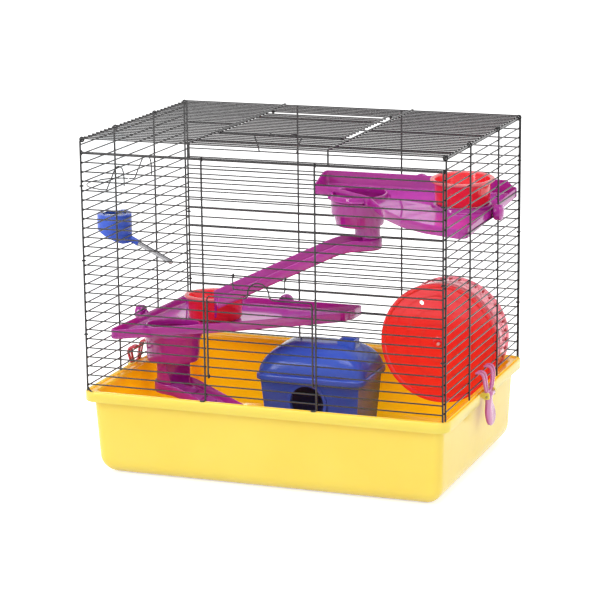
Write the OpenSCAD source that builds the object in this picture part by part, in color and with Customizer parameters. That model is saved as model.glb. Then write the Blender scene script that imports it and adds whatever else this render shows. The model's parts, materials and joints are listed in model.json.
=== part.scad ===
// Two-level wire cage for small animals on a deep plastic base tray.
// Origin: centre of the tray's underside. +Z is up, -Y is the door side, +X is right seen from the door.

/* [Wire cage] */
// Width between the centres of the two side grilles
cage_w = 476; // [460:2:520]
// Depth between the centres of the front and back grilles
cage_d = 338; // [330:2:370]
// Height of the roof grille above the table
roof_z = 440; // [434:1:460]
// Distance from one grille wire to the next
wire_pitch = 12; // [11:0.5:13]
// Diameter of the grille wires
wire_d = 1.8; // [1.6:0.1:2.2]
// Diameter of the rods that carry the grille wires
rod_d = 2.4; // [2.2:0.1:2.8]
// Diameter of the thin spring wire of catches, rings and bottle holder
spring_d = 1.7; // [1.4:0.1:2]
// How deep crossing wires are welded into each other
weld = 0.4; // [0.2:0.1:0.6]
// Height of the lowest front and back grille wire
front_wire_z = 122; // [120:1:124]
// Height of the lowest left grille wire
left_wire_z = 120.3; // [119.3:0.5:120.8]
// Height of the lowest right grille wire
right_wire_z = 123.7; // [123.2:0.5:124.7]
// Distance of the two inner uprights of front and back from the middle
inner_upright_x = 74.3; // [72:0.1:80]
// Depth position of the front inner upright of the sides
side_upright_front_y = -64; // [-80:1:-50]
// Depth position of the rear inner upright of the sides
side_upright_rear_y = 62; // [56:1:70]

/* [Base tray] */
// Height of the rim's top
rim_z = 113.5; // [110:0.5:114]
// How far the rim stands outside the grille planes
rim_overhang = 6.5; // [6:0.1:8]
// Radius of the rim's corners in plan
rim_corner_r = 17; // [12:1:24]
// Height of the rim's outer lip
lip_h = 13.5; // [11:0.5:15]
// Thickness of the tray's walls
tray_wall = 2.5; // [2:0.1:3.5]
// Radius of the tub's bottom edges
tub_bottom_r = 26; // [20:1:30]
// How much the tub narrows from rim to floor on each side
tub_draft = 6.2; // [3:0.1:9]

/* [Front door] */
// Width of the front door
door_w = 142; // [136:1:143]
// Number of grille steps from the lowest wire up to the door's hinge wire
door_hinge_step = 2; // [1:1:3]
// Number of grille steps that the door opening is high
door_steps = 9; // [7:1:10]
// How far the door's arch stands above its top wire
door_arch_h = 21; // [18:1:23]

/* [Roof hatch] */
// Distance of the roof rods beside the hatch from the middle
hatch_rod_x = 91; // [89:0.5:96]
// Left edge of the hatch
hatch_left_x = -86.5; // [-87:0.5:-80]
// Right edge of the hatch
hatch_right_x = 81; // [74:0.5:86]
// Number of grille steps from the back of the roof to the hatch's hinge wire
hatch_hinge_step = 5; // [4:1:6]
// Number of grille steps that the hatch opening is long
hatch_steps = 16; // [14:1:16]

/* [Shelves] */
// Thickness of the shelf floors and walls
shelf_wall = 2.2; // [1.8:0.1:3]
// Height of the shelf walls over the floor
shelf_rim_h = 10.5; // [9:0.5:12]
// Height of the upper shelf's floor at the back
upper_floor_z = 335; // [330:1:337]
// Tilt of the upper shelf, front edge down
upper_tilt = 2.8; // [2:0.1:3.2]
// Height of the upper shelf's wall along the back grille
upper_back_wall_h = 19; // [16:1:22]
// Height of the lower shelf's floor at the back
lower_floor_z = 158; // [155:1:160]
// Tilt of the lower shelf, front edge up
lower_tilt = 2.2; // [1.6:0.1:2.6]
// Radius of the upper shelf's hole
upper_hole_r = 35; // [32:0.5:36]
// Radius of the lower shelf's hole
lower_hole_r = 34; // [31:0.5:35]
// Outer radius of the upper funnel's tube
upper_tube_r = 17; // [16:0.5:18]
// Outer radius of the lower funnel's tube
lower_tube_r = 26; // [24:0.5:27]
// Diameter of the knobs that hold the shelves
knob_d = 21; // [18:0.5:23]

/* [Ramps] */
// Width of the upper ramp
upper_ramp_w = 46; // [44:0.5:50]
// Width of the lower ramp
lower_ramp_w = 58; // [57:0.5:62]
// Height of a ramp's channel
ramp_h = 15; // [12:1:18]
// Direction of the upper ramp in plan
upper_ramp_azimuth = 210; // [208:1:212]
// Slope of the upper ramp
upper_ramp_slope = 21.8; // [21:0.1:22.6]
// Length of the upper ramp's sloping run in plan
upper_ramp_run = 170; // [162:1:172]
// Slope of the lower ramp
lower_ramp_slope = 24; // [22:0.5:26]

/* [Food bowls] */
// Outer diameter of a bowl's rim
bowl_d = 84; // [80:1:88]
// Height of a bowl
bowl_h = 33; // [28:1:36]
// Wall thickness of a bowl
bowl_wall = 2; // [1.6:0.1:2.6]

/* [House] */
// Width of the house
house_w = 140; // [130:1:146]
// Depth of the house
house_d = 97; // [90:1:100]
// Height of the house's walls
house_wall_h = 81; // [74:1:84]
// Height of the roof over the walls
house_roof_h = 51; // [40:1:54]
// Radius of the round entrance
entrance_r = 24; // [20:0.5:27]

/* [Wheel] */
// Radius of the wheel's front flange
wheel_r = 81; // [79.5:0.5:83]
// Radius of the running surface
drum_r = 78; // [70:0.5:78.5]
// Width of the running surface
drum_w = 58; // [50:1:60]
// Height of the wheel's axle
wheel_z = 144; // [138:1:146]
// Diameter of the axle
axle_d = 3.6; // [3:0.1:4.4]

/* [Bottle] */
// Outer diameter of the bottle
bottle_d = 42; // [38:0.5:42]
// Length of the bottle above its cap
bottle_len = 108; // [90:1:112]
// Diameter of the bottle's cap
cap_d = 46; // [44:0.5:47]
// Height of the cap's top, moved to the nearest place where the tube passes between two wires
cap_top_z = 316; // [313:1:319]
// Diameter of the drinking tube
tube_d = 6.6; // [5.6:0.1:6.8]
// Angle of the drinking tube below level
tube_slope = 26; // [23:1:28]

/* [Hidden] */
$fn = 48;

// Colours
steel = [0.36, 0.35, 0.36];
yellow = [0.99, 0.84, 0.25];
purple = [0.62, 0.16, 0.57];
red = [0.93, 0.1, 0.16];
blue = [0.2, 0.3, 0.68];
pink = [0.88, 0.55, 0.75];
white = [0.95, 0.95, 0.95];
clear = [0.85, 0.92, 0.96, 0.35];

// Clearances
gap = 0.3;
pin_fit = 0.1;
press_gap = 0.03;

// Grille planes and the rods that stand outside them
side_x = cage_w / 2;
face_y = cage_d / 2;
rod_offset = (wire_d + rod_d) / 2 - weld;
flange_drop = 18;
flange_wire_z = roof_z - flange_drop;
flange_wire_d = 3.4;
wires_to_flange = floor((flange_wire_z - front_wire_z - wire_pitch / 2) / wire_pitch);
foot_z = rim_z + gap;
roof_wire_count = floor(cage_d / wire_pitch + 0.01);
roof_first_y = face_y - 1;

// A wire ring about the local X axis
module ring(inner_r, wire) {
    rotate([0, 90, 0])
        rotate_extrude()
            translate([inner_r + wire / 2, 0])
                circle(d = wire);
}

function unit(v) = v / norm(v);

// Points of a smooth curve through hand-chosen points, 'n' steps between each pair
function smooth_at(a, b, c, d, t) =
    0.5 * (2 * b + (c - a) * t + (2 * a - 5 * b + 4 * c - d) * t * t + (3 * b - a - 3 * c + d) * t * t * t);
function smooth_path(p, n) = concat(
    [for (i = [0 : len(p) - 2], k = [0 : n - 1])
        smooth_at(p[max(i - 1, 0)], p[i], p[i + 1], p[min(i + 2, len(p) - 1)], k / n)],
    [p[len(p) - 1]]);

// Normals carried along a path without twist
function carried(p, i, nrm) =
    let(t = unit(p[min(i + 1, len(p) - 1)] - p[max(i - 1, 0)]))
    unit(nrm - t * (nrm * t));
function normals(p, first) = [for (i = 0, n = carried(p, 0, first); i < len(p); i = i + 1,
    n = i < len(p) ? carried(p, i, n) : n) n];

// A bent round wire swept along a path as one closed solid
module bent_wire(path, d, sides = 8, first = [0.13, 0.27, 0.95]) {
    nrm = normals(path, first);
    last = len(path) - 1;
    rings = [for (i = [0 : last])
        let(t = unit(path[min(i + 1, last)] - path[max(i - 1, 0)]), b = cross(t, nrm[i]))
        [for (k = [0 : sides - 1]) path[i] + d / 2 * (nrm[i] * cos(360 * k / sides) + b * sin(360 * k / sides))]];
    points = [for (r = rings, q = r) q];
    side_faces = [for (i = [0 : last - 1], k = [0 : sides - 1])
        let(a = i * sides + k, b = i * sides + (k + 1) % sides)
        each [[a, a + sides, b], [b, a + sides, b + sides]]];
    start_cap = [[for (k = [0 : sides - 1]) k]];
    end_cap = [[for (k = [sides - 1 : -1 : 0]) last * sides + k]];
    polyhedron(points, concat(side_faces, start_cap, end_cap));
}

// Outline with rounded corners: corner points with one radius each
function corner_arc(a, b, c, r, n) =
    let(u = unit(a - b), v = unit(c - b), half = acos(max(-1, min(1, u * v))) / 2,
        reach = r / tan(half), centre = b + unit(u + v) * (r / sin(half)),
        p = b + u * reach - centre, q = b + v * reach - centre,
        start = atan2(p[1], p[0]), turn = atan2(p[0] * q[1] - p[1] * q[0], p * q))
    [for (k = [0 : n]) centre + r * [cos(start + turn * k / n), sin(start + turn * k / n)]];
function rounded(points, radii, n = 6) =
    let(m = len(points))
    [for (i = [0 : m - 1]) each corner_arc(points[(i + m - 1) % m], points[i], points[(i + 1) % m], radii[i], n)];

// The same outline moved inwards; points run counter-clockwise
function inset_points(points, d) =
    let(m = len(points))
    [for (i = [0 : m - 1])
        let(u = unit(points[i] - points[(i + m - 1) % m]), v = unit(points[(i + 1) % m] - points[i]),
            nu = [-u[1], u[0]], nv = [-v[1], v[0]])
        points[i] + (nu + nv) * d / (1 + nu * nv)];

// Base tray

rim_x = side_x + rim_overhang;
rim_y = face_y + rim_overhang;
lip_t = 1.6;
ridge_w = 1.7;
ridge_offset = rod_offset - ridge_w / 2;
tub_inset = 11.3;
tub_x = rim_x - tub_inset;
tub_y = rim_y - tub_inset;
tub_corner_r = 14;
flange_z = rim_z - 2.2;
flange_t = 3.3;
lip_z = rim_z - lip_h;
tray_floor_t = 3;

// Rim section: first value is the distance outside the grille plane, second the height
rim_section = [
    [-7.3, lip_z], [-7.3, flange_z - 2], [-5, flange_z],
    [ridge_offset, flange_z], [ridge_offset, rim_z],
    [ridge_offset + ridge_w, rim_z], [ridge_offset + ridge_w, flange_z - 1.3],
    [rim_overhang - lip_t, flange_z - 1.3], [rim_overhang - lip_t, rim_z - 0.7],
    [rim_overhang, rim_z - 1.2], [rim_overhang, lip_z],
    [rim_overhang - lip_t, lip_z], [rim_overhang - lip_t, flange_z - flange_t],
    [rim_overhang - tub_inset, flange_z - flange_t], [rim_overhang - tub_inset, lip_z]
];

module rim_run(length) {
    rotate([90, 0, 90])
        translate([0, 0, -length / 2])
            linear_extrude(length)
                polygon([for (p = rim_section) [-p[0], p[1]]]);
}

module rim_corner() {
    rotate_extrude(angle = 90)
        polygon([for (p = rim_section) [p[0] + rim_corner_r - rim_overhang, p[1]]]);
}

module tub(x, y, low, r_bottom, r_top, draft) {
    hull() {
        for (sx = [-1, 1], sy = [-1, 1]) {
            translate([sx * (x - draft - r_bottom), sy * (y - draft - r_bottom), low + r_bottom])
                sphere(r_bottom);
            translate([sx * (x - r_top), sy * (y - r_top), lip_z])
                cylinder(r = r_top, h = flange_z - lip_z - flange_t + 0.5);
        }
    }
}

// Clips: pockets in the rim, lugs and pins
clip_neck_w = 24;
clip_pocket_w = 66;
lug_t = 4;
pin_d = 3;
pin_x = rim_x + 4;
pin_z = rim_z - 7.5;
lug_gap = 0.5;

module clip_lugs() {
    for (s = [-1, 1])
        translate([0, s * (clip_neck_w / 2 + lug_gap + lug_t / 2), 0])
            rotate([90, 0, 0])
                translate([0, 0, -lug_t / 2])
                    linear_extrude(lug_t)
                        polygon([
                            [side_x - 2, flange_z - flange_t + 0.4], [side_x - 2, flange_z],
                            [pin_x + 3, flange_z], [pin_x + 3.5, pin_z - 3],
                            [pin_x - 3, pin_z - 3.5]
                        ]);
}

module clip_side_cuts() {
    translate([side_x + ridge_offset + ridge_w, -clip_pocket_w / 2, lip_z - 1])
        cube([rim_overhang, clip_pocket_w, lip_h + 2]);
}

module pin_bores(d) {
    translate([pin_x, clip_pocket_w / 2, pin_z])
        rotate([90, 0, 0])
            cylinder(d = d, h = clip_pocket_w);
}

module base_tray() {
    color(yellow)
        difference() {
            union() {
                difference() {
                    union() {
                        difference() {
                            tub(tub_x, tub_y, 0, tub_bottom_r, tub_corner_r, tub_draft);
                            tub(tub_x - tray_wall, tub_y - tray_wall, tray_floor_t,
                                tub_bottom_r - tray_wall, tub_corner_r - tray_wall, tub_draft);
                        }
                        for (s = [0, 1])
                            mirror([0, s, 0])
                                translate([0, -face_y, 0])
                                    rim_run(2 * (rim_x - rim_corner_r));
                        for (s = [0, 1])
                            mirror([s, 0, 0])
                                rotate([0, 0, 90])
                                    translate([0, -side_x, 0])
                                        rim_run(2 * (rim_y - rim_corner_r));
                        for (sx = [0, 1], sy = [0, 1])
                            mirror([sx, 0, 0])
                                mirror([0, sy, 0])
                                    translate([rim_x - rim_corner_r, rim_y - rim_corner_r, 0])
                                        rim_corner();
                    }
                    for (s = [0, 1])
                        mirror([s, 0, 0])
                            clip_side_cuts();
                }
                for (s = [0, 1])
                    mirror([s, 0, 0])
                        clip_lugs();
            }
            for (s = [0, 1])
                mirror([s, 0, 0])
                    pin_bores(pin_d + 2 * press_gap);
        }
}

module clip_pins() {
    color(steel)
        for (s = [0, 1])
            mirror([s, 0, 0])
                translate([pin_x, clip_neck_w / 2 + lug_gap + lug_t, pin_z])
                    rotate([90, 0, 0])
                        cylinder(d = pin_d, h = clip_neck_w + 2 * (lug_gap + lug_t));
}

finger_w = 12;
finger_spread = 19;
finger_slot = 2.4;
clip_t = 3.4;
clip_tip_t = 3;
clip_drop = 40;
tab_r = 17;
clip_inner_x = rim_x + 1;

// Front view of a clip, seen along X: Y across, Z up
module clip_front_view(tip_z) {
    out = finger_spread + finger_w / 2;
    inn = finger_spread - finger_w / 2;
    neck = clip_neck_w / 2;
    tab_z = pin_z - clip_drop + tab_r;
    finger_z = pin_z + 18;
    difference() {
        polygon(concat(
            [[-out, tip_z], [-out, finger_z], [-neck, finger_z - 9], [-neck, pin_z - 10], [-tab_r, tab_z + 5]],
            [for (a = [180 : 12 : 360]) [tab_r * cos(a), tab_z + tab_r * sin(a)]],
            [[tab_r, tab_z + 5], [neck, pin_z - 10], [neck, finger_z - 9], [out, finger_z], [out, tip_z],
                [inn, tip_z], [inn, finger_z + 5], [inn - 4, finger_z - 1], [4 - inn, finger_z - 1],
                [-inn, finger_z + 5], [-inn, tip_z]]
        ));
        for (s = [-1, 1])
            translate([s * finger_spread - finger_slot / 2, finger_z - 1])
                square([finger_slot, tip_z - clip_tip_t - 4 - finger_z]);
    }
}

// Side view of a clip, seen along Y: X outwards, Z up
module clip_side_view(wire_z) {
    tip_low = wire_z + wire_d / 2 + gap;
    polygon([
        [side_x - wire_d / 2 - 1.5, tip_low], [clip_inner_x, tip_low], [clip_inner_x, pin_z - 8],
        [clip_inner_x + 4, pin_z - clip_drop - 1], [clip_inner_x + 4 + clip_t, pin_z - clip_drop - 1],
        [clip_inner_x + clip_t, pin_z - 8], [clip_inner_x + clip_t, tip_low + clip_tip_t],
        [side_x - wire_d / 2 - 1.5, tip_low + clip_tip_t]
    ]);
    translate([pin_x, pin_z])
        circle(pin_d / 2 + 2.2);
}

module clip(wire_z) {
    tip_z = wire_z + wire_d / 2 + gap + clip_tip_t;
    difference() {
        intersection() {
            rotate([90, 0, 0])
                translate([0, 0, -clip_pocket_w / 2])
                    linear_extrude(clip_pocket_w)
                        clip_side_view(wire_z);
            rotate([90, 0, 90])
                linear_extrude(pin_x + clip_drop)
                    clip_front_view(tip_z);
        }
        pin_bores(pin_d + 2 * pin_fit);
    }
}

module right_clip() {
    color(pink)
        clip(right_wire_z + wire_pitch);
}

module left_clip() {
    color(pink)
        mirror([1, 0, 0])
            clip(left_wire_z + wire_pitch);
}

// Grilles

// Level wires along X in the front plane, each from x1 to x2
module front_wires(x1, x2, first, last) {
    if (last >= first)
        for (k = [first : last])
            translate([x1, -face_y, front_wire_z + k * wire_pitch])
                rotate([0, 90, 0])
                    cylinder(d = wire_d, h = x2 - x1);
}

// An upright rod outside the front plane
module front_rod(x, z1, z2) {
    translate([x, -face_y - rod_offset, z1])
        cylinder(d = rod_d, h = z2 - z1);
}

door_first = door_hinge_step + 1;
door_last = door_hinge_step + door_steps - 1;
door_hinge_z = front_wire_z + door_hinge_step * wire_pitch;
door_top_z = front_wire_z + (door_hinge_step + door_steps) * wire_pitch - 4;
upright_reach = rod_d / 2 + 0.2;
flange_ring_r = flange_wire_d / 2 + 0.2;

// Corner posts stand close together: one of the front or back grille, one of the side grille
corner_rod_x = side_x - 0.5;
corner_upright_y = face_y - 2.4;

module front_panel() {
    color(steel) {
        front_wires(-side_x, side_x, 0, door_hinge_step);
        front_wires(-side_x, -inner_upright_x + upright_reach, door_first, door_last);
        front_wires(inner_upright_x - upright_reach, side_x, door_first, door_last);
        front_wires(-side_x, side_x, door_last + 1, wires_to_flange);
        for (s = [-1, 1], x = [inner_upright_x, corner_rod_x]) {
            front_rod(s * x, foot_z, flange_wire_z - flange_ring_r - 0.6);
            translate([s * x, -face_y, flange_wire_z])
                ring(flange_ring_r, spring_d);
        }
    }
}

module back_panel() {
    color(steel)
        mirror([0, 1, 0]) {
            front_wires(-side_x, side_x, 0, floor((roof_z - front_wire_z - 2 * wire_d) / wire_pitch));
            for (s = [-1, 1], x = [inner_upright_x, corner_rod_x])
                front_rod(s * x, foot_z, roof_z - wire_d / 2 - gap);
        }
}

roof_rod_z = roof_z - rod_offset;
side_wire_len = cage_d + wire_d - 3.4 * gap;

module side_panel(first_z) {
    count = floor((roof_rod_z - rod_d - first_z) / wire_pitch);
    for (k = [0 : count])
        translate([side_x, side_wire_len / 2, first_z + k * wire_pitch])
            rotate([90, 0, 0])
                cylinder(d = wire_d, h = side_wire_len);
    for (y = [-corner_upright_y, side_upright_front_y, side_upright_rear_y, corner_upright_y]) {
        ring_y = abs(y) == corner_upright_y ? sign(y) * (corner_upright_y - rod_d / 2 - 0.9) : y;
        translate([side_x + rod_offset, y, foot_z])
            cylinder(d = rod_d, h = roof_rod_z - foot_z - rod_d / 2 - 0.6);
        translate([side_x, ring_y, roof_rod_z])
            rotate([0, 0, 90])
                ring(rod_d / 2 + gap, spring_d + 0.5);
    }
}

module right_panel() {
    color(steel)
        side_panel(right_wire_z);
}

module left_panel() {
    color(steel)
        mirror([1, 0, 0])
            side_panel(left_wire_z);
}

top_rod_z = roof_z + rod_offset;
hatch_hinge_y = roof_first_y - hatch_hinge_step * wire_pitch;
hatch_first = hatch_hinge_step + 1;
hatch_last = hatch_hinge_step + hatch_steps - 1;

function roof_wire_y(k) = roof_first_y - k * wire_pitch;

module roof_wires(x1, x2, first, last, z) {
    for (k = [first : last])
        translate([x1, roof_wire_y(k), z])
            rotate([0, 90, 0])
                cylinder(d = wire_d, h = x2 - x1);
}

module roof_panel() {
    edge_x = hatch_rod_x - upright_reach;
    roof_rod_len = cage_d - 2;
    color(steel) {
        roof_wires(-side_x - 1, side_x + 1, 0, hatch_hinge_step, roof_z);
        roof_wires(-side_x - 1, -edge_x, hatch_first, hatch_last, roof_z);
        roof_wires(edge_x, side_x + 1, hatch_first, hatch_last, roof_z);
        roof_wires(-side_x - 1, side_x + 1, hatch_last + 1, roof_wire_count, roof_z);
        for (s = [-1, 1]) {
            translate([s * side_x, roof_rod_len / 2, roof_rod_z])
                rotate([90, 0, 0])
                    cylinder(d = rod_d, h = roof_rod_len);
            translate([s * hatch_rod_x, roof_rod_len / 2, top_rod_z])
                rotate([90, 0, 0])
                    cylinder(d = rod_d, h = roof_rod_len);
            translate([s * hatch_rod_x, -roof_rod_len / 2, flange_wire_z])
                cylinder(d = rod_d, h = top_rod_z - flange_wire_z + rod_d / 2 - 0.2);
        }
        translate([-side_x + rod_d, -face_y, flange_wire_z])
            rotate([0, 90, 0])
                cylinder(d = flange_wire_d, h = cage_w - 2 * rod_d);
    }
}

ring_heights = [5, 13, 21];

module corner_rings() {
    color(steel)
        for (sx = [0, 1], sy = [0, 1], k = ring_heights)
            mirror([sx, 0, 0])
                mirror([0, sy, 0])
                    translate([corner_rod_x, -face_y - rod_offset, front_wire_z + (k + 0.5) * wire_pitch])
                        rotate([0, 90, 0])
                            ring(rod_d / 2 + 0.1, spring_d);
}

// Front door

door_side_x = door_w / 2 - rod_d / 2;
hinge_ring_r = wire_d / 2 + gap;
arch_w = 27;
catch_y = -face_y - wire_d / 2 - gap - spring_d / 2;
arch_y = catch_y - spring_d - gap;
catch_z = front_wire_z + 11.5 * wire_pitch + 1;

module front_door() {
    arch_top = door_top_z + door_arch_h;
    rod_y = -face_y - rod_offset;
    // Right half of the door's top wire, from the side rod round the corner to the arch
    door_top_half = [
        [door_side_x, rod_y, door_top_z - 8], [door_side_x, rod_y, door_top_z - 4.5],
        [door_side_x - 1.2, rod_y, door_top_z - 1.3], [door_side_x - 4.5, rod_y, door_top_z],
        [door_side_x - 14, rod_y, door_top_z], [arch_w / 2 + 10, rod_y, door_top_z],
        [arch_w / 2 + 4, rod_y - 0.4, door_top_z + 1], [arch_w / 2 + 1, arch_y + 0.6, door_top_z + 4.5],
        [arch_w / 2 - 0.5, arch_y, door_top_z + 0.6 * door_arch_h], [arch_w / 4, arch_y, arch_top - 1.5]
    ];
    color(steel) {
        front_wires(-door_side_x - 1.2, door_side_x + 1.2, door_first, door_last);
        for (s = [-1, 1]) {
            front_rod(s * door_side_x, door_hinge_z + 1.2, door_top_z - 5);
            translate([s * door_side_x, -face_y, door_hinge_z])
                ring(hinge_ring_r, spring_d);
        }
        bent_wire(smooth_path(concat(
            [for (p = door_top_half) [-p[0], p[1], p[2]]], [[0, arch_y, arch_top]],
            [for (k = [len(door_top_half) - 1 : -1 : 0]) door_top_half[k]]
        ), 4), wire_d, 8, [0.13, 0.95, 0.27]);
    }
}

catch_w = 69;
catch_hook_z = front_wire_z + 13 * wire_pitch;

module front_door_catch() {
    color(steel) {
        for (s = [-1, 1])
            translate([s * catch_w / 2, -face_y, catch_hook_z])
                ring(wire_d / 2 + 0.15, spring_d);
        bent_wire(smooth_path([
            [-catch_w / 2, catch_y - 0.2, catch_hook_z - 1.2], [-catch_w / 2, catch_y, catch_hook_z - 9],
            [-catch_w / 2 + 0.6, catch_y, catch_z + 1.5], [-catch_w / 2 + 3, catch_y, catch_z],
            [-10, catch_y, catch_z], [10, catch_y, catch_z],
            [catch_w / 2 - 3, catch_y, catch_z], [catch_w / 2 - 0.6, catch_y, catch_z + 1.5],
            [catch_w / 2, catch_y, catch_hook_z - 9], [catch_w / 2, catch_y - 0.2, catch_hook_z - 1.2]
        ], 4), spring_d);
    }
}

// Roof hatch

hatch_rod_z = roof_z + wire_d / 2 + gap + rod_d / 2;
hatch_wire_z = hatch_rod_z - rod_offset;
hatch_front_y = roof_wire_y(hatch_last + 1) + 2;
hatch_arch_w = 30;
hatch_catch_wire_y = roof_wire_y(hatch_last + 2);
hatch_catch_y = hatch_catch_wire_y + 2;
hatch_catch_leg_y = hatch_catch_wire_y - 3;
hatch_catch_drop = 17;

module roof_hatch() {
    left = hatch_left_x + rod_d / 2;
    right = hatch_right_x - rod_d / 2;
    rest_y = roof_wire_y(hatch_last + 1) - 2;
    arch_z = hatch_wire_z + 3.4;
    color(steel) {
        roof_wires(left - 1.2, right + 1.2, hatch_first + 1, hatch_last, hatch_wire_z);
        for (x = [left, right]) {
            translate([x, hatch_hinge_y - 1.2, hatch_rod_z])
                rotate([90, 0, 0])
                    cylinder(d = rod_d, h = hatch_hinge_y - 1.2 - rest_y);
            translate([x, hatch_hinge_y, roof_z])
                ring(hinge_ring_r, spring_d + 0.5);
        }
        translate([left - 1.2, hatch_front_y + 3, hatch_wire_z])
            rotate([0, 90, 0])
                cylinder(d = wire_d, h = right - left + 2.4);
        bent_wire(smooth_path([
            [-hatch_arch_w / 2 - 4, hatch_front_y + 3, hatch_wire_z + 1],
            [-hatch_arch_w / 2, hatch_front_y - 1, arch_z], [-hatch_arch_w / 2 + 1, hatch_front_y - 12, arch_z],
            [-hatch_arch_w / 4, hatch_front_y - 19, arch_z], [0, hatch_front_y - 21, arch_z],
            [hatch_arch_w / 4, hatch_front_y - 19, arch_z], [hatch_arch_w / 2 - 1, hatch_front_y - 12, arch_z],
            [hatch_arch_w / 2, hatch_front_y - 1, arch_z],
            [hatch_arch_w / 2 + 4, hatch_front_y + 3, hatch_wire_z + 1]
        ], 4), spring_d);
    }
}

module roof_hatch_catch() {
    bar_z = roof_z + wire_d / 2 + spring_d / 2 - 0.1;
    half = 33;
    color(steel)
        bent_wire(smooth_path([
            [-half + 8, hatch_catch_leg_y, roof_z - hatch_catch_drop],
            [-half + 6, hatch_catch_leg_y, roof_z - hatch_catch_drop / 2],
            [-half + 2, hatch_catch_leg_y + 0.6, bar_z - 0.6],
            [-half + 2.6, hatch_catch_wire_y, bar_z + 0.6], [-half + 4, hatch_catch_y, bar_z + 0.2],
            [-half / 2, hatch_catch_y, bar_z + 0.2], [half / 2, hatch_catch_y, bar_z + 0.2],
            [half - 4, hatch_catch_y, bar_z + 0.2], [half - 2.6, hatch_catch_wire_y, bar_z + 0.6],
            [half - 2, hatch_catch_leg_y + 0.6, bar_z - 0.6],
            [half - 6, hatch_catch_leg_y, roof_z - hatch_catch_drop / 2],
            [half - 8, hatch_catch_leg_y, roof_z - hatch_catch_drop]
        ], 4), spring_d);
}

// Shelves

shelf_x = side_x - wire_d / 2 - gap;
shelf_y = face_y - wire_d / 2 - gap;

module upper_place() {
    translate([shelf_x, shelf_y, upper_floor_z])
        rotate([upper_tilt, 0, 0])
            children();
}

module lower_place() {
    translate([-shelf_x, shelf_y, lower_floor_z])
        rotate([-lower_tilt, 0, 0])
            children();
}

// Outlines measured from the shelf's corner in the cage: X along the back, Y forwards is negative
upper_outline = [
    [0, -244], [0, 0], [-270, 0], [-268, -59], [-232, -66], [-174, -102], [-130, -167], [-98, -200], [-60, -224]
];
upper_radii = [10, 6, 6, 8, 20, 20, 30, 30, 40];
lower_outline = [
    [0, -280], [99, -202], [130, -175], [203, -106], [249, -60], [256, -33], [256, 0], [0, 0]
];
lower_radii = [8, 40, 40, 60, 20, 20, 6, 6];

upper_hole = [-200, -63];
lower_hole = [54, -187];
hole_lip = 3;
upper_bowl_at = [-50, -87];
lower_bowl_at = [81, -105];
bowl_seat_r = bowl_d / 2 - 7;
upper_seat_h = 6;
upper_socket_depth = 13;

module shelf_tray(points, radii) {
    inner = inset_points(points, shelf_wall);
    inner_radii = [for (r = radii) max(r - shelf_wall, 2)];
    difference() {
        translate([0, 0, -shelf_wall])
            linear_extrude(shelf_rim_h + shelf_wall)
                polygon(rounded(points, radii));
        linear_extrude(shelf_rim_h + 1)
            polygon(rounded(inner, inner_radii));
    }
}

// The walls alone, as high as 'height', where they lie within a side view of the high end
module raised_walls(points, radii, height, x1, x2) {
    inner = inset_points(points, shelf_wall);
    inner_radii = [for (r = radii) max(r - shelf_wall, 2)];
    intersection() {
        difference() {
            linear_extrude(height)
                polygon(rounded(points, radii));
            translate([0, 0, -1])
                linear_extrude(height + 2)
                    polygon(rounded(inner, inner_radii));
        }
        rotate([90, 0, 90])
            translate([0, 0, x1])
                linear_extrude(x2 - x1)
                    polygon([[1, 0], [1, height], [-8, height], [-54, shelf_rim_h], [-54, 0]]);
    }
}

module hole_ring(at, r, height) {
    translate([at[0], at[1], -shelf_wall])
        cylinder(r = r + hole_lip, h = height + shelf_wall, $fn = 96);
}

module knob_bore(at, along_x) {
    translate(at)
        rotate(along_x ? [0, 90, 0] : [90, 0, 0])
            cylinder(d = knob_shank_d + 2 * pin_fit, h = 2 * knob_t, center = true);
}

knob_shank_d = 6;
knob_t = 12;
function between_wires(first_z, z) = first_z + (round((z - first_z) / wire_pitch - 0.5) + 0.5) * wire_pitch;
upper_side_knob_at = [side_x, side_upright_rear_y - 15.4, between_wires(right_wire_z, upper_floor_z - 1)];
upper_back_knob_at = [inner_upright_x + 26.3, face_y, between_wires(front_wire_z, upper_floor_z + 9)];
lower_side_knob_at = [-side_x, side_upright_rear_y - 46.4, between_wires(left_wire_z, lower_floor_z + 16)];
lower_back_knob_at = [-inner_upright_x - 21.3, face_y, between_wires(front_wire_z, lower_floor_z + 6)];

module upper_shelf() {
    color(purple)
        difference() {
            upper_place() {
                difference() {
                    union() {
                        shelf_tray(upper_outline, upper_radii);
                        raised_walls(upper_outline, upper_radii, upper_back_wall_h, -272, -8);
                        hole_ring(upper_hole, upper_hole_r, 6);
                        translate([upper_bowl_at[0], upper_bowl_at[1], -upper_socket_depth])
                            cylinder(r = bowl_seat_r + 3, h = upper_socket_depth + upper_seat_h, $fn = 96);
                    }
                    translate([upper_hole[0], upper_hole[1], -30])
                        cylinder(r = upper_hole_r, h = 60, $fn = 96);
                    translate([upper_bowl_at[0], upper_bowl_at[1], -upper_socket_depth - 1])
                        cylinder(r = bowl_seat_r - 3, h = upper_socket_depth + upper_seat_h + 2, $fn = 96);
                }
            }
            knob_bore(upper_side_knob_at, true);
            knob_bore(upper_back_knob_at, false);
        }
}

module lower_shelf() {
    color(purple)
        difference() {
            lower_place() {
                difference() {
                    union() {
                        shelf_tray(lower_outline, lower_radii);
                        hole_ring(lower_hole, lower_hole_r, 6);
                        translate([12, -24, -shelf_wall])
                            cube([3, 20, shelf_rim_h]);
                    }
                    translate([lower_hole[0], lower_hole[1], -30])
                        cylinder(r = lower_hole_r, h = 60, $fn = 96);
                }
            }
            knob_bore(lower_side_knob_at, true);
            knob_bore(lower_back_knob_at, false);
        }
}

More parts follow.
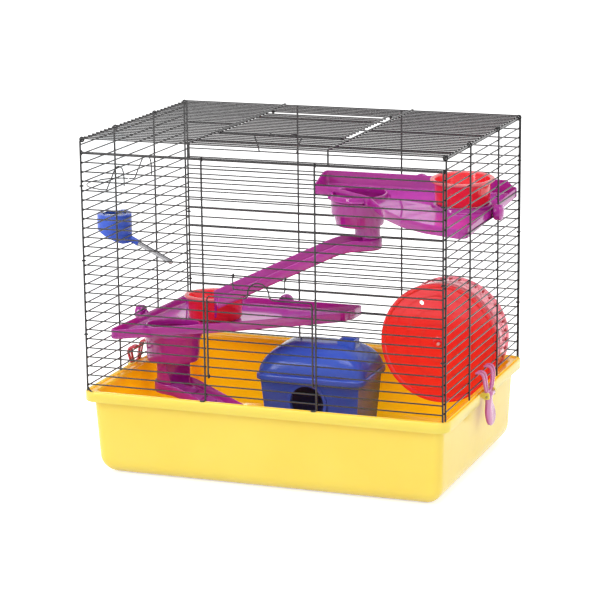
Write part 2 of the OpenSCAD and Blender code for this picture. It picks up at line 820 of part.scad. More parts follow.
// A knob outside a grille with its shank through the grille into the shelf's wall; points outwards along +X
module knob() {
    head_at = wire_d / 2 + gap;
    difference() {
        union() {
            translate([head_at, 0, 0])
                rotate([0, 90, 0])
                    cylinder(d = knob_d, h = knob_t - 3);
            translate([head_at + knob_t - 3, 0, 0])
                rotate([0, 90, 0])
                    cylinder(d1 = knob_d, d2 = knob_d - 5, h = 3);
            translate([-wire_d / 2 - gap - shelf_wall, 0, 0])
                rotate([0, 90, 0])
                    cylinder(d = knob_shank_d, h = 2 * head_at + shelf_wall);
        }
        for (a = [0 : 30 : 330])
            rotate([a, 0, 0])
                translate([head_at - 1, 0, knob_d / 2 + 1.2])
                    rotate([0, 90, 0])
                        cylinder(d = 4, h = knob_t + 2);
    }
}

module upper_side_knob() {
    color(purple)
        translate(upper_side_knob_at)
            knob();
}

module upper_back_knob() {
    color(purple)
        translate(upper_back_knob_at)
            rotate([0, 0, 90])
                knob();
}

module lower_side_knob() {
    color(purple)
        translate(lower_side_knob_at)
            rotate([0, 0, 180])
                knob();
}

module lower_back_knob() {
    color(purple)
        translate(lower_back_knob_at)
            rotate([0, 0, 90])
                knob();
}

// Funnels under the holes, with a side mouth at the bottom of their tubes

module funnel(r, upper_len, lower_len, tube_r, tube_shift, tube_len, mouth_h, mouth_turn) {
    wall = 2;
    difference() {
        union() {
            translate([0, 0, -upper_len])
                cylinder(r = r, h = upper_len, $fn = 96);
            translate([0, 0, -upper_len - lower_len])
                cylinder(r1 = r - 6, r2 = r - 3, h = lower_len, $fn = 96);
            translate([tube_shift[0], tube_shift[1], -upper_len - lower_len - tube_len])
                cylinder(r = tube_r, h = tube_len + 1, $fn = 72);
        }
        translate([0, 0, -upper_len + wall / 2])
            cylinder(r = r - wall, h = upper_len, $fn = 96);
        translate([0, 0, -upper_len - lower_len + wall])
            cylinder(r1 = r - 6 - wall, r2 = r - 3 - wall, h = lower_len, $fn = 96);
        translate([tube_shift[0], tube_shift[1], -upper_len - lower_len - tube_len - 1])
            cylinder(r = tube_r - wall, h = tube_len + wall + 2, $fn = 72);
        translate([tube_shift[0], tube_shift[1], -upper_len - lower_len - tube_len - 1])
            rotate([0, 0, mouth_turn])
                translate([0, -tube_r * 0.82, 0])
                    cube([tube_r + 2, tube_r * 1.64, mouth_h + 1]);
    }
}

upper_cup = [18, 16, 29];
lower_cup = [19, 22, 37];
upper_tube_shift = [12, -4];
lower_tube_shift = [5, -2];

module upper_funnel() {
    color(purple)
        upper_place()
            translate([upper_hole[0], upper_hole[1], -shelf_wall])
                funnel(upper_hole_r + hole_lip, upper_cup[0], upper_cup[1], upper_tube_r,
                    upper_tube_shift, upper_cup[2], 16, upper_ramp_azimuth);
}

module lower_funnel() {
    color(purple)
        lower_place()
            translate([lower_hole[0], lower_hole[1], -shelf_wall])
                funnel(lower_hole_r + hole_lip, lower_cup[0], lower_cup[1], lower_tube_r,
                    lower_tube_shift, lower_cup[2], 26, 0);
}

// Ramps: channels that run along local +X from the tube's axis

// Height of a funnel's lower end at a distance behind the shelf's corner
function tilted(base, tilt, y, z) = base + y * sin(tilt) + z * cos(tilt);
upper_tube_end_z = tilted(upper_floor_z, upper_tilt, upper_hole[1] + upper_tube_shift[1],
    -shelf_wall - upper_cup[0] - upper_cup[1] - upper_cup[2]);
lower_tube_end_z = tilted(lower_floor_z, -lower_tilt, lower_hole[1] + lower_tube_shift[1],
    -shelf_wall - lower_cup[0] - lower_cup[1] - lower_cup[2]);
ramp_wall = 2.2;

// Side view of a channel: level head, then the slope
function ramp_side(start, head, run, slope, h) = [
    [start, 0], [head, 0], [head + run, -run * tan(slope)],
    [head + run, -run * tan(slope) + h / cos(slope)], [head + h * tan(slope / 2), h], [start, h]
];

// 'back' is how far the rounded head reaches behind the tube's axis
module ramp(back, head, run, slope, w, h) {
    round_x = w / 2 - back;
    difference() {
        union() {
            rotate([90, 0, 0])
                translate([0, 0, -w / 2])
                    linear_extrude(w)
                        polygon(ramp_side(round_x, head, run, slope, h));
            translate([round_x, 0, 0])
                cylinder(r = w / 2, h = h, $fn = 96);
        }
        rotate([90, 0, 0])
            translate([0, 0, -w / 2 + ramp_wall])
                linear_extrude(w - 2 * ramp_wall)
                    translate([0, ramp_wall])
                        polygon(ramp_side(round_x, head - ramp_wall * tan(slope / 2),
                            run + 10, slope, h + 10));
        translate([round_x, 0, ramp_wall])
            cylinder(r = w / 2 - ramp_wall, h = h, $fn = 96);
    }
}

upper_ramp_head = 35;
lower_ramp_head = 8;

module upper_ramp_place() {
    upper_at = [upper_hole[0] + upper_tube_shift[0], upper_hole[1] + upper_tube_shift[1]];
    lean = (upper_tube_end_z - upper_floor_z) * tan(upper_tilt);
    translate([shelf_x + upper_at[0], shelf_y + upper_at[1] - lean, upper_tube_end_z - ramp_wall - gap - 1])
        rotate([0, 0, upper_ramp_azimuth])
            children();
}

module upper_ramp() {
    leg_h = 22;
    end_x = upper_ramp_head + upper_ramp_run;
    end_z = -upper_ramp_run * tan(upper_ramp_slope);
    color(purple)
        upper_ramp_place() {
            ramp(upper_tube_r + ramp_wall, upper_ramp_head, upper_ramp_run, upper_ramp_slope, upper_ramp_w, ramp_h);
            translate([end_x - 3, -upper_ramp_w / 2, end_z - leg_h])
                cube([3, 7, leg_h + 4]);
            for (k = [1 : 12])
                translate([upper_ramp_head + 13 * k, -upper_ramp_w / 2 + 6,
                    -13 * k * tan(upper_ramp_slope) + ramp_wall - 0.5])
                    rotate([0, upper_ramp_slope, 0])
                        cube([2, upper_ramp_w - 12, 1.4]);
        }
}

module lower_ramp_place() {
    lean = (lower_tube_end_z - lower_floor_z) * tan(-lower_tilt);
    translate([-shelf_x + lower_hole[0] + lower_tube_shift[0],
        shelf_y + lower_hole[1] + lower_tube_shift[1] - lean, lower_tube_end_z - ramp_wall - gap - 1])
        children();
}

lower_ramp_run = (lower_tube_end_z - ramp_wall - gap - 1 - tray_floor_t - gap) / tan(lower_ramp_slope);

module lower_ramp() {
    color(purple)
        lower_ramp_place() {
            ramp(lower_ramp_w / 2, lower_ramp_head, lower_ramp_run, lower_ramp_slope, lower_ramp_w, ramp_h - 1);
            for (k = [1 : 10])
                translate([lower_ramp_head + 13 * k, -lower_ramp_w / 2 + 6,
                    -13 * k * tan(lower_ramp_slope) + ramp_wall - 0.5])
                    rotate([0, lower_ramp_slope, 0])
                        cube([2, lower_ramp_w - 12, 1.4]);
        }
}

// Food bowls

module bowl() {
    rotate_extrude($fn = 96)
        polygon([
            [0, 0], [bowl_seat_r - 1.5, 0], [bowl_seat_r + 1, 2], [bowl_d / 2 - 4.5, bowl_h - 3],
            [bowl_d / 2, bowl_h - 3], [bowl_d / 2, bowl_h - 1], [bowl_d / 2 - 1, bowl_h],
            [bowl_d / 2 - 5.5, bowl_h], [bowl_seat_r + 1 - bowl_wall, 2 + bowl_wall], [0, bowl_wall]
        ]);
}

module upper_bowl() {
    color(red)
        upper_place()
            translate([upper_bowl_at[0], upper_bowl_at[1], upper_seat_h + gap])
                bowl();
}

module lower_bowl() {
    color(red)
        lower_place()
            translate([lower_bowl_at[0], lower_bowl_at[1], gap])
                bowl();
}

// House

house_x = -18;
house_front_y = 54;
house_wall = 2.5;
house_taper = 7;
house_z = tray_floor_t + gap;
eave = 8;
eave_band = 8;
entrance_x = house_x - 4;
entrance_z = 55;
entrance_ring = 4;
// The wall leans back at the ring's lowest point
entrance_lean = house_taper * (1 - (entrance_z - entrance_r - entrance_ring - house_z) / house_wall_h);

// A box that narrows downwards like the house's walls, 'less' smaller on each side, between two heights
module tapered_box(less, low, high) {
    lean = house_taper / house_wall_h;
    hull()
        for (z = [low, high])
            linear_extrude_at(z)
                square([house_w - 2 * less - 2 * lean * (house_wall_h - z),
                    house_d - 2 * less - 2 * lean * (house_wall_h - z)], center = true);
}

// A thin slice whose middle is at a height
module linear_extrude_at(z) {
    slice = 0.02;
    translate([0, 0, z - slice / 2])
        linear_extrude(slice)
            children();
}

module house_body() {
    color(blue)
        difference() {
            union() {
                translate([house_x, house_front_y + house_d / 2, house_z])
                    difference() {
                        tapered_box(0, 0, house_wall_h);
                        tapered_box(house_wall, -1, house_wall_h + 1);
                    }
                translate([entrance_x, house_front_y + house_wall + entrance_lean, entrance_z])
                    rotate([90, 0, 0])
                        cylinder(r = entrance_r + entrance_ring, h = house_wall + entrance_lean + 0.5, $fn = 96);
            }
            translate([entrance_x, house_front_y + 12, entrance_z])
                rotate([90, 0, 0])
                    cylinder(r = entrance_r, h = 20, $fn = 96);
            rear_foot_cut();
        }
}

// The rear walls stop short of the tray's rounded bottom edge
module rear_foot_cut() {
    round_start = tub_y - tub_draft - tub_bottom_r;
    rear = house_front_y + house_d + 1;
    rise = tub_bottom_r - sqrt(pow(tub_bottom_r, 2) - pow(rear - round_start, 2)) + 3;
    rotate([90, 0, 90])
        translate([0, 0, house_x - house_w / 2 - 1])
            linear_extrude(house_w + 2)
                polygon([
                    [round_start - 6, house_z - 1], [rear, house_z - 1], [rear, house_z + rise],
                    [round_start + 8, house_z + 2]
                ]);
}

module slab(x, y, z, r, h) {
    for (sx = [-1, 1], sy = [-1, 1])
        translate([sx * (x - r), sy * (y - r), z])
            cylinder(r = r, h = h, $fn = 32);
}

module roof_dome(less) {
    x = house_w / 2 + eave - less;
    y = house_d / 2 + eave - less;
    h = house_roof_h - less;
    hull() {
        slab(x, y, -less, 5, eave_band + less - 0.5);
        slab(x - 14, y - 12, h * 0.48, 12, 1);
        slab(x - 24, y - 21, h * 0.74, 14, 1);
        slab(x - 42, y - 34, h - 1, 14, 1);
    }
}

module house_roof() {
    skin = 2.4;
    chimney = [39, 0];
    color(blue)
        translate([house_x, house_front_y + house_d / 2, house_z + house_wall_h + gap]) {
            difference() {
                union() {
                    roof_dome(0);
                    translate([chimney[0] - 13, chimney[1] - 11, house_roof_h * 0.6])
                        cube([26, 22, house_roof_h * 0.4 + 5]);
                }
                roof_dome(skin);
                translate([chimney[0] - 9, chimney[1] - 7, house_roof_h * 0.5])
                    cube([18, 14, house_roof_h]);
            }
            difference() {
                slab_plate(house_w / 2 + eave - 1, house_d / 2 + eave - 1, 2);
                translate([-house_w / 2 + house_wall + 6, -house_d / 2 + house_wall + 6, -1])
                    cube([house_w - 2 * house_wall - 12, house_d - 2 * house_wall - 12, 4]);
            }
        }
}

module slab_plate(x, y, h) {
    translate([-x, -y, 0])
        cube([2 * x, 2 * y, h]);
}

// Wheel, turning about an axle along Y

wheel_x = side_x - wheel_r - 4;
wheel_front_y = face_y - 79;
disc_t = 4;
hub_len = 14;
boss_gap = 0.4;
drum_wall = 2;

module at_wheel(y) {
    translate([wheel_x, y, wheel_z])
        rotate([-90, 0, 0])
            children();
}

module wheel_disc() {
    color(red)
        difference() {
            union() {
                at_wheel(wheel_front_y)
                    cylinder(r = wheel_r, h = disc_t, $fn = 144);
                at_wheel(wheel_front_y)
                    cylinder(r = 9, h = hub_len);
                at_wheel(wheel_front_y - 1.6)
                    difference() {
                        cylinder(r = wheel_r, h = 3, $fn = 144);
                        translate([0, 0, -1])
                            cylinder(r = wheel_r - 6, h = 5, $fn = 144);
                    }
                at_wheel(wheel_front_y - 2)
                    cylinder(r = 5, h = 3);
            }
            at_wheel(wheel_front_y - 5)
                cylinder(d = axle_d + 2 * pin_fit, h = hub_len + 10);
            translate([-25, 0, 53])
                at_wheel(wheel_front_y - 5)
                    cylinder(d = 6.5, h = 20);
        }
}

module wheel_drum() {
    windows = 40;
    color(red)
        difference() {
            union() {
                at_wheel(wheel_front_y + disc_t)
                    cylinder(r1 = drum_r, r2 = drum_r - 2, h = drum_w, $fn = 144);
                at_wheel(wheel_front_y + disc_t + drum_w - 4)
                    cylinder(r = drum_r, h = 4, $fn = 144);
                for (k = [0 : 2])
                    at_wheel(wheel_front_y + disc_t + 2 + 5 * k)
                        cylinder(r = drum_r + 0.9, h = 1.4, $fn = 144);
            }
            at_wheel(wheel_front_y + disc_t - 1)
                cylinder(r1 = drum_r - drum_wall, r2 = drum_r - drum_wall - 2, h = drum_w + 2, $fn = 144);
            for (k = [0 : windows - 1])
                translate([wheel_x, wheel_front_y + disc_t + drum_w - 15, wheel_z])
                    rotate([0, k * 360 / windows, 0])
                        translate([-4, 0, drum_r - 8])
                            cube([8, 8, 16]);
        }
}

axle_front_y = wheel_front_y - 6;
bracket_y = face_y - wire_d / 2 - gap;
bracket_t = 3;

module wheel_axle() {
    color(steel)
        at_wheel(axle_front_y)
            cylinder(d = axle_d, h = bracket_y - axle_front_y - 1);
}

module wheel_axle_cap() {
    color(white)
        difference() {
            at_wheel(axle_front_y - 1.5)
                cylinder(r1 = axle_d / 2 + 0.7, r2 = axle_d / 2 + 1.2, h = 5, $fn = 32);
            at_wheel(axle_front_y)
                cylinder(d = axle_d + 2 * press_gap, h = 10);
        }
}

module wheel_bracket() {
    boss_y = wheel_front_y + hub_len + boss_gap;
    bracket_w = 44;
    hook_wire = front_wire_z + 3 * wire_pitch;
    color(purple)
        difference() {
            union() {
                at_wheel(boss_y)
                    cylinder(r1 = 6.5, r2 = 9, h = bracket_y - boss_y, $fn = 48);
                translate([wheel_x - bracket_w / 2, bracket_y - bracket_t, wheel_z - 20])
                    cube([bracket_w, bracket_t, hook_wire + wire_d / 2 + gap + 3 - wheel_z + 20]);
                for (s = [-1, 1])
                    translate([wheel_x + s * 15 - 3, bracket_y - 1, hook_wire + wire_d / 2 + gap])
                        cube([6, wire_d + 2 * gap + 3.5, 3]);
                for (s = [-1, 1])
                    translate([wheel_x + s * 15 - 3, bracket_y + wire_d + 2 * gap, hook_wire - 3])
                        cube([6, 2.5, 3 + wire_d / 2 + gap + 3]);
            }
            at_wheel(boss_y - 1)
                cylinder(d = axle_d + 2 * press_gap, h = bracket_y - boss_y);
        }
}

// Water bottle, outside the left grille, cap down, with its tube through the grille

bottle_x = -side_x - wire_d / 2 - gap - 0.2 - cap_d / 2;
bottle_y = -22;
cap_h = 19;
nozzle_r = 6.5;
cap_over_tube = 34;
// The spout goes between two grille wires into the cage
spout_r = min(4.3, wire_pitch / 2 * cos(tube_slope) - wire_d / 2 - 0.15);
spout_in = 11;
tube_cross_z = between_wires(left_wire_z, cap_top_z - cap_over_tube);
cap_z = tube_cross_z + cap_over_tube;
tube_len = 90;
tube_wall = 0.8;
ball_d = tube_d - 2 * tube_wall - gap;
bottle_wall = 1.2;
neck_r = 15;
neck_len = 12;
seal_t = 2;

// The tube's frame: local Z runs along the tube into the cage, origin where it crosses the grille
module along_tube() {
    translate([-side_x, bottle_y, tube_cross_z])
        rotate([0, 90 + tube_slope, 0])
            children();
}

nozzle_out = 26;

module bottle_cap() {
    color(blue)
        difference() {
            union() {
                intersection() {
                    translate([bottle_x, bottle_y, cap_z - 2 * cap_h])
                        cylinder(d = cap_d, h = 2 * cap_h, $fn = 72);
                    along_tube()
                        translate([nozzle_r - 2 * cap_d, -cap_d, -2 * cap_d])
                            cube([2 * cap_d, 2 * cap_d, 3 * cap_d]);
                }
                along_tube()
                    translate([0, 0, -nozzle_out])
                        cylinder(r = nozzle_r, h = nozzle_out - wire_d - 3);
                along_tube()
                    translate([0, 0, -nozzle_out])
                        cylinder(r = spout_r, h = nozzle_out + spout_in);
            }
            translate([bottle_x, bottle_y, cap_z - neck_len - seal_t - gap])
                cylinder(r = neck_r + 1.2, h = neck_len + seal_t + 5, $fn = 72);
            translate([bottle_x, bottle_y, cap_z - cap_h - 2])
                cylinder(r = 10, h = 14, $fn = 48);
            along_tube()
                translate([0, 0, -nozzle_out - 8])
                    cylinder(d = tube_d + 2 * press_gap, h = nozzle_out + spout_in + 20);
        }
}

module water_bottle() {
    color(clear)
        translate([bottle_x, bottle_y, cap_z - neck_len])
            rotate_extrude($fn = 72)
                polygon([
                    [neck_r - bottle_wall, 0], [neck_r, 0], [neck_r, neck_len + gap],
                    [bottle_d / 2 - 3, neck_len + 1.5], [bottle_d / 2, neck_len + 6],
                    [bottle_d / 2, neck_len + bottle_len - 12], [bottle_d / 2 - 5, neck_len + bottle_len - 2],
                    [bottle_d / 2 - 10, neck_len + bottle_len], [0, neck_len + bottle_len],
                    [0, neck_len + bottle_len - bottle_wall],
                    [bottle_d / 2 - 10.5, neck_len + bottle_len - bottle_wall],
                    [bottle_d / 2 - 5 - bottle_wall, neck_len + bottle_len - 3],
                    [bottle_d / 2 - bottle_wall, neck_len + bottle_len - 13],
                    [bottle_d / 2 - bottle_wall, neck_len + 7], [bottle_d / 2 - 3.6, neck_len + 3],
                    [neck_r - bottle_wall, neck_len + 2]
                ]);
}

module bottle_seal() {
    color(white)
        translate([bottle_x, bottle_y, cap_z - neck_len - seal_t - 0.1])
            difference() {
                cylinder(r = neck_r + 0.9, h = seal_t, $fn = 72);
                translate([0, 0, -1])
                    cylinder(r = neck_r - 4, h = seal_t + 2, $fn = 72);
            }
}

module drinking_tube() {
    color(steel)
        along_tube()
            difference() {
                union() {
                    translate([0, 0, -nozzle_out])
                        cylinder(d = tube_d, h = tube_len - 3);
                    translate([0, 0, -nozzle_out + tube_len - 3])
                        cylinder(d1 = tube_d, d2 = ball_d - 0.4, h = 3);
                }
                translate([0, 0, -nozzle_out - 1])
                    cylinder(d = tube_d - 2 * tube_wall, h = tube_len - 2.4);
                translate([0, 0, -nozzle_out + tube_len - 8])
                    cylinder(d = ball_d - 1.4, h = 12);
            }
}

module tube_ball() {
    color(steel)
        along_tube()
            translate([0, 0, -nozzle_out + tube_len - 3.4 - ball_d / 2 + 0.1])
                sphere(d = ball_d);
}

// Bottle holder: one bent wire with two hooks over a grille wire and a hoop round the bottle
holder_wire_z = left_wire_z + 22 * wire_pitch;
holder_top_z = holder_wire_z + wire_d / 2 + spring_d / 2 + 0.2;
hoop_r = 44;
hoop_y = -15;
hoop_out = 18;
hoop_drop = 32;
hook_w = 8;
hoop_x = -side_x - hoop_out;
hoop_z = holder_top_z - hoop_drop;

function hook(y, side) = [
    [-side_x + hook_w, y, holder_top_z - hoop_drop * 0.8], [-side_x + hook_w, y, holder_top_z - hoop_drop * 0.4],
    [-side_x + hook_w * 0.75, y, holder_top_z - hoop_drop * 0.1], [-side_x + hook_w * 0.12, y, holder_top_z],
    [-side_x - hoop_out * 0.22, y, holder_top_z - hoop_drop * 0.1],
    [-side_x - hoop_out * 0.5, y, holder_top_z - hoop_drop * 0.44],
    [-side_x - hoop_out * 0.83, y + side * 0.5, holder_top_z - hoop_drop * 0.85]
];

module bottle_holder() {
    hoop = [for (a = [0 : 18 : 180]) [hoop_x - hoop_r * sin(a), hoop_y - hoop_r * cos(a), hoop_z]];
    back_hook = hook(hoop_y + hoop_r, 1);
    color(steel)
        bent_wire(smooth_path(concat(hook(hoop_y - hoop_r, -1), hoop,
            [for (k = [len(back_hook) - 1 : -1 : 0]) back_hook[k]]), 2), spring_d, 8, [0.1, 0.98, 0.1]);
}

base_tray();
left_clip();
right_clip();
clip_pins();
front_panel();
back_panel();
left_panel();
right_panel();
roof_panel();
corner_rings();
front_door();
front_door_catch();
roof_hatch();
roof_hatch_catch();
upper_shelf();
upper_funnel();
upper_ramp();
upper_bowl();
upper_side_knob();
upper_back_knob();
lower_shelf();
lower_funnel();
lower_ramp();
lower_bowl();
lower_side_knob();
lower_back_knob();
house_body();
house_roof();
wheel_disc();
wheel_drum();
wheel_axle();
wheel_axle_cap();
wheel_bracket();
bottle_holder();
water_bottle();
bottle_cap();
bottle_seal();
drinking_tube();
tube_ball();
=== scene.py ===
import json
import math

import bmesh
import bpy
from mathutils import Matrix, Vector


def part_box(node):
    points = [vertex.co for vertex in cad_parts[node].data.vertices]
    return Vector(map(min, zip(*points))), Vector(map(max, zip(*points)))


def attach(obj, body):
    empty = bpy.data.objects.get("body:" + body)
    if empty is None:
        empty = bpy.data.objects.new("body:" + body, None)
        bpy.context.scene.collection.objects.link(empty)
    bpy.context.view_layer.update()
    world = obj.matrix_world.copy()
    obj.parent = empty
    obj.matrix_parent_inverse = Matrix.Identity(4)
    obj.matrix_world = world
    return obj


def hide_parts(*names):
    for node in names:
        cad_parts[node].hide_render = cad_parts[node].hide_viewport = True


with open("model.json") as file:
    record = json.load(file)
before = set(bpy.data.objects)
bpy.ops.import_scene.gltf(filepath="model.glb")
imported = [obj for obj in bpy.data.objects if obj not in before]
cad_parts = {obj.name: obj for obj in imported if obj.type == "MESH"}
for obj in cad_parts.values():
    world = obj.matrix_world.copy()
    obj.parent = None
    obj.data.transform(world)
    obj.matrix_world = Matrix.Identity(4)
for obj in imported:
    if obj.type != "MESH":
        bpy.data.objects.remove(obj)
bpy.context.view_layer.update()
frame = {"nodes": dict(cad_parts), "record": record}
nodes = frame["nodes"]

MM = 0.001


# Camera at the photograph's place

CAMERA_PLACE = Vector((1.0606, -2.8642, 0.9251))
CAMERA_YAW = -0.3576
CAMERA_PITCH = -0.2294
CAMERA_ROLL = -0.0105
FOCAL_PIXELS = 2404.85
FRAME_PIXELS = 600
SENSOR_MM = 36


def add_camera():
    forward = Vector((
        math.sin(CAMERA_YAW) * math.cos(CAMERA_PITCH),
        math.cos(CAMERA_YAW) * math.cos(CAMERA_PITCH),
        math.sin(CAMERA_PITCH),
    ))
    right = Vector((math.cos(CAMERA_YAW), -math.sin(CAMERA_YAW), 0))
    up = right.cross(forward)
    across = right * math.cos(CAMERA_ROLL) + up * math.sin(CAMERA_ROLL)
    upward = up * math.cos(CAMERA_ROLL) - right * math.sin(CAMERA_ROLL)
    rotation = Matrix((across, upward, -forward)).transposed().to_4x4()
    data = bpy.data.cameras.new("camera")
    data.sensor_width = SENSOR_MM
    data.lens = FOCAL_PIXELS / FRAME_PIXELS * SENSOR_MM
    data.clip_end = 100
    camera = bpy.data.objects.new("camera", data)
    camera.matrix_world = Matrix.Translation(CAMERA_PLACE) @ rotation
    bpy.context.scene.collection.objects.link(camera)
    bpy.context.scene.camera = camera


add_camera()


# Node helpers

def new_material(name):
    material = bpy.data.materials.new(name)
    material.use_nodes = True
    tree = material.node_tree
    shader = tree.nodes["Principled BSDF"]
    return material, tree, shader


def add(tree, kind, **values):
    node = tree.nodes.new(kind)
    for key, value in values.items():
        setattr(node, key, value)
    return node


def noise(tree, scale, detail=3.0, rough=0.5, stretch=None):
    """Noise over the object's own place, in waves per metre"""
    place = add(tree, "ShaderNodeTexCoord")
    texture = add(tree, "ShaderNodeTexNoise")
    texture.inputs["Scale"].default_value = scale
    texture.inputs["Detail"].default_value = detail
    texture.inputs["Roughness"].default_value = rough
    if stretch is None:
        tree.links.new(place.outputs["Object"], texture.inputs["Vector"])
    else:
        mapping = add(tree, "ShaderNodeMapping")
        mapping.inputs["Scale"].default_value = stretch
        tree.links.new(place.outputs["Object"], mapping.inputs["Vector"])
        tree.links.new(mapping.outputs["Vector"], texture.inputs["Vector"])
    return texture.outputs["Fac"]


def remap(tree, value, low, high, to_low, to_high):
    node = add(tree, "ShaderNodeMapRange")
    tree.links.new(value, node.inputs["Value"])
    node.inputs["From Min"].default_value = low
    node.inputs["From Max"].default_value = high
    node.inputs["To Min"].default_value = to_low
    node.inputs["To Max"].default_value = to_high
    return node.outputs["Result"]


def mix_colour(tree, factor, a, b):
    node = add(tree, "ShaderNodeMix", data_type="RGBA")
    tree.links.new(factor, node.inputs["Factor"])
    for socket, colour in ((node.inputs["A"], a), (node.inputs["B"], b)):
        if isinstance(colour, tuple):
            socket.default_value = (*colour, 1)
        else:
            tree.links.new(colour, socket)
    return node.outputs["Result"]


def axis_size(tree, source, axis):
    """Absolute value along one axis of the object's own place or normal"""
    place = add(tree, "ShaderNodeTexCoord")
    axes = add(tree, "ShaderNodeSeparateXYZ")
    tree.links.new(place.outputs[source], axes.inputs["Vector"])
    size = add(tree, "ShaderNodeMath", operation="ABSOLUTE")
    tree.links.new(axes.outputs[axis], size.inputs[0])
    return size.outputs[0]


def put(shader, values):
    """Set sockets whose value is the same all over the surface"""
    for socket, value in values.items():
        shader.inputs[socket].default_value = value


def paint(tree, shader, factor, a, b):
    """Base colour that goes from one colour to another"""
    tree.links.new(mix_colour(tree, factor, a, b), shader.inputs["Base Color"])


def roughen(tree, shader, grain, smooth, rough, high=0.7):
    """Roughness that follows a grain"""
    tree.links.new(remap(tree, grain, 0.3, high, smooth, rough), shader.inputs["Roughness"])


def bump(tree, shader, height, strength, distance):
    node = add(tree, "ShaderNodeBump")
    node.inputs["Strength"].default_value = strength
    node.inputs["Distance"].default_value = distance
    tree.links.new(height, node.inputs["Height"])
    tree.links.new(node.outputs["Normal"], shader.inputs["Normal"])


# Materials

GLOW_RADIUS = (1.0, 0.8, 0.5)
GLOW_DEPTH = 0.016
# Strength of the glow painted on the tray's inside, in place of light that comes through its thin walls from
# outside
PAINTED_GLOW = 0.19
# The corner posts stand farther from the middle than this, in metres
CORNER_X = 0.2345
CORNER_Y = 0.1635
CORNER_BLEND = 0.0005


def moulded_plastic(name, light, dark, rough=0.13, transmit=0.0, coat=0.25, ior=1.49, glow=0.0, lift=None):
    """Glossy moulded plastic: slow colour drift, which on the purple is partly painted reflection, faint flow
    waves and fine scuffs
    """
    material, tree, shader = new_material(name)
    drift = noise(tree, scale=9.0, detail=2.0)
    paint(tree, shader, remap(tree, drift, 0.35, 0.65, 0, 1), light, dark)
    scuffs = noise(tree, scale=120.0, detail=4.0, rough=0.6, stretch=(1, 1, 0.4))
    roughen(tree, shader, scuffs, rough * 0.85, rough * 1.35, high=0.75)
    bump(tree, shader, noise(tree, scale=22.0, detail=1.0), strength=0.05, distance=0.001)
    put(shader, {
        "IOR": ior,
        "Transmission Weight": transmit,
        "Coat Weight": coat,
        "Coat Roughness": 0.05,
        "Subsurface Weight": glow,
        "Subsurface Radius": GLOW_RADIUS,
        "Subsurface Scale": GLOW_DEPTH,
    })
    # Painted glow: emission in the given colour, standing in for light let through the walls
    if lift:
        put(shader, {"Emission Color": (*lift, 1), "Emission Strength": PAINTED_GLOW})
    return material


def near_corner(tree):
    """One at the cage's upright corners, nought elsewhere"""
    both = add(tree, "ShaderNodeMath", operation="MULTIPLY")
    for k, (axis, edge) in enumerate((("X", CORNER_X), ("Y", CORNER_Y))):
        beyond = remap(tree, axis_size(tree, "Object", axis), edge - CORNER_BLEND, edge + CORNER_BLEND, 0, 1)
        tree.links.new(beyond, both.inputs[k])
    return both.outputs[0]


def coated_wire(name):
    """Dark grey coated wire with an uneven coat, darker at the corners"""
    material, tree, shader = new_material(name)
    drift = remap(tree, noise(tree, scale=60.0), 0.3, 0.7, 0, 1)
    coat = mix_colour(tree, drift, (0.01, 0.009, 0.0095), (0.022, 0.02, 0.021))
    paint(tree, shader, near_corner(tree), coat, (0.004, 0.0036, 0.004))
    roughen(tree, shader, noise(tree, scale=300.0, detail=2.0), 0.16, 0.3)
    bump(tree, shader, noise(tree, scale=500.0, detail=2.0), strength=0.15, distance=0.0002)
    put(shader, {"IOR": 1.42, "Coat Weight": 0.12, "Coat Roughness": 0.12})
    return material


def polished_steel(name):
    """Bright steel with darker upper and lower faces, which are a painted reflection"""
    material, tree, shader = new_material(name)
    bright = mix_colour(tree, noise(tree, scale=90.0), (0.5, 0.5, 0.51), (0.36, 0.36, 0.38))
    # Painted reflection: faces that look up or down are darkened, as the tube's reflection is grey at its top
    # and bottom
    upright = remap(tree, axis_size(tree, "Normal", "Z"), 0.35, 0.75, 0, 1)
    paint(tree, shader, upright, bright, (0.04, 0.04, 0.045))
    roughen(tree, shader, noise(tree, scale=260.0, stretch=(1, 1, 0.1)), 0.14, 0.3)
    put(shader, {"Metallic": 1.0})
    return material


def clear_plastic(name, tint):
    """Thin clear plastic that hardly bends the light"""
    material, tree, shader = new_material(name)
    roughen(tree, shader, noise(tree, scale=40.0), 0.02, 0.06)
    put(shader, {"Base Color": (*tint, 1), "IOR": 1.06, "Transmission Weight": 1.0})
    return material


def spotted_plastic(name, ground, spots):
    """Deep plastic with paler flecks"""
    material, tree, shader = new_material(name)
    flecks = noise(tree, scale=170.0, rough=0.6)
    paint(tree, shader, remap(tree, flecks, 0.56, 0.64, 0, 1), ground, spots)
    roughen(tree, shader, noise(tree, scale=120.0), 0.1, 0.2)
    put(shader, {"Coat Weight": 0.25})
    return material


wire = coated_wire("wire_coat")
steel = polished_steel("polished_steel")
# The drift between these two purples is partly painted reflection: its paler patches stand in for reflected
# light
purple = moulded_plastic(
    "purple_plastic", (0.44, 0.016, 0.34), (0.38, 0.011, 0.28), rough=0.08, transmit=0.12, glow=0.25)
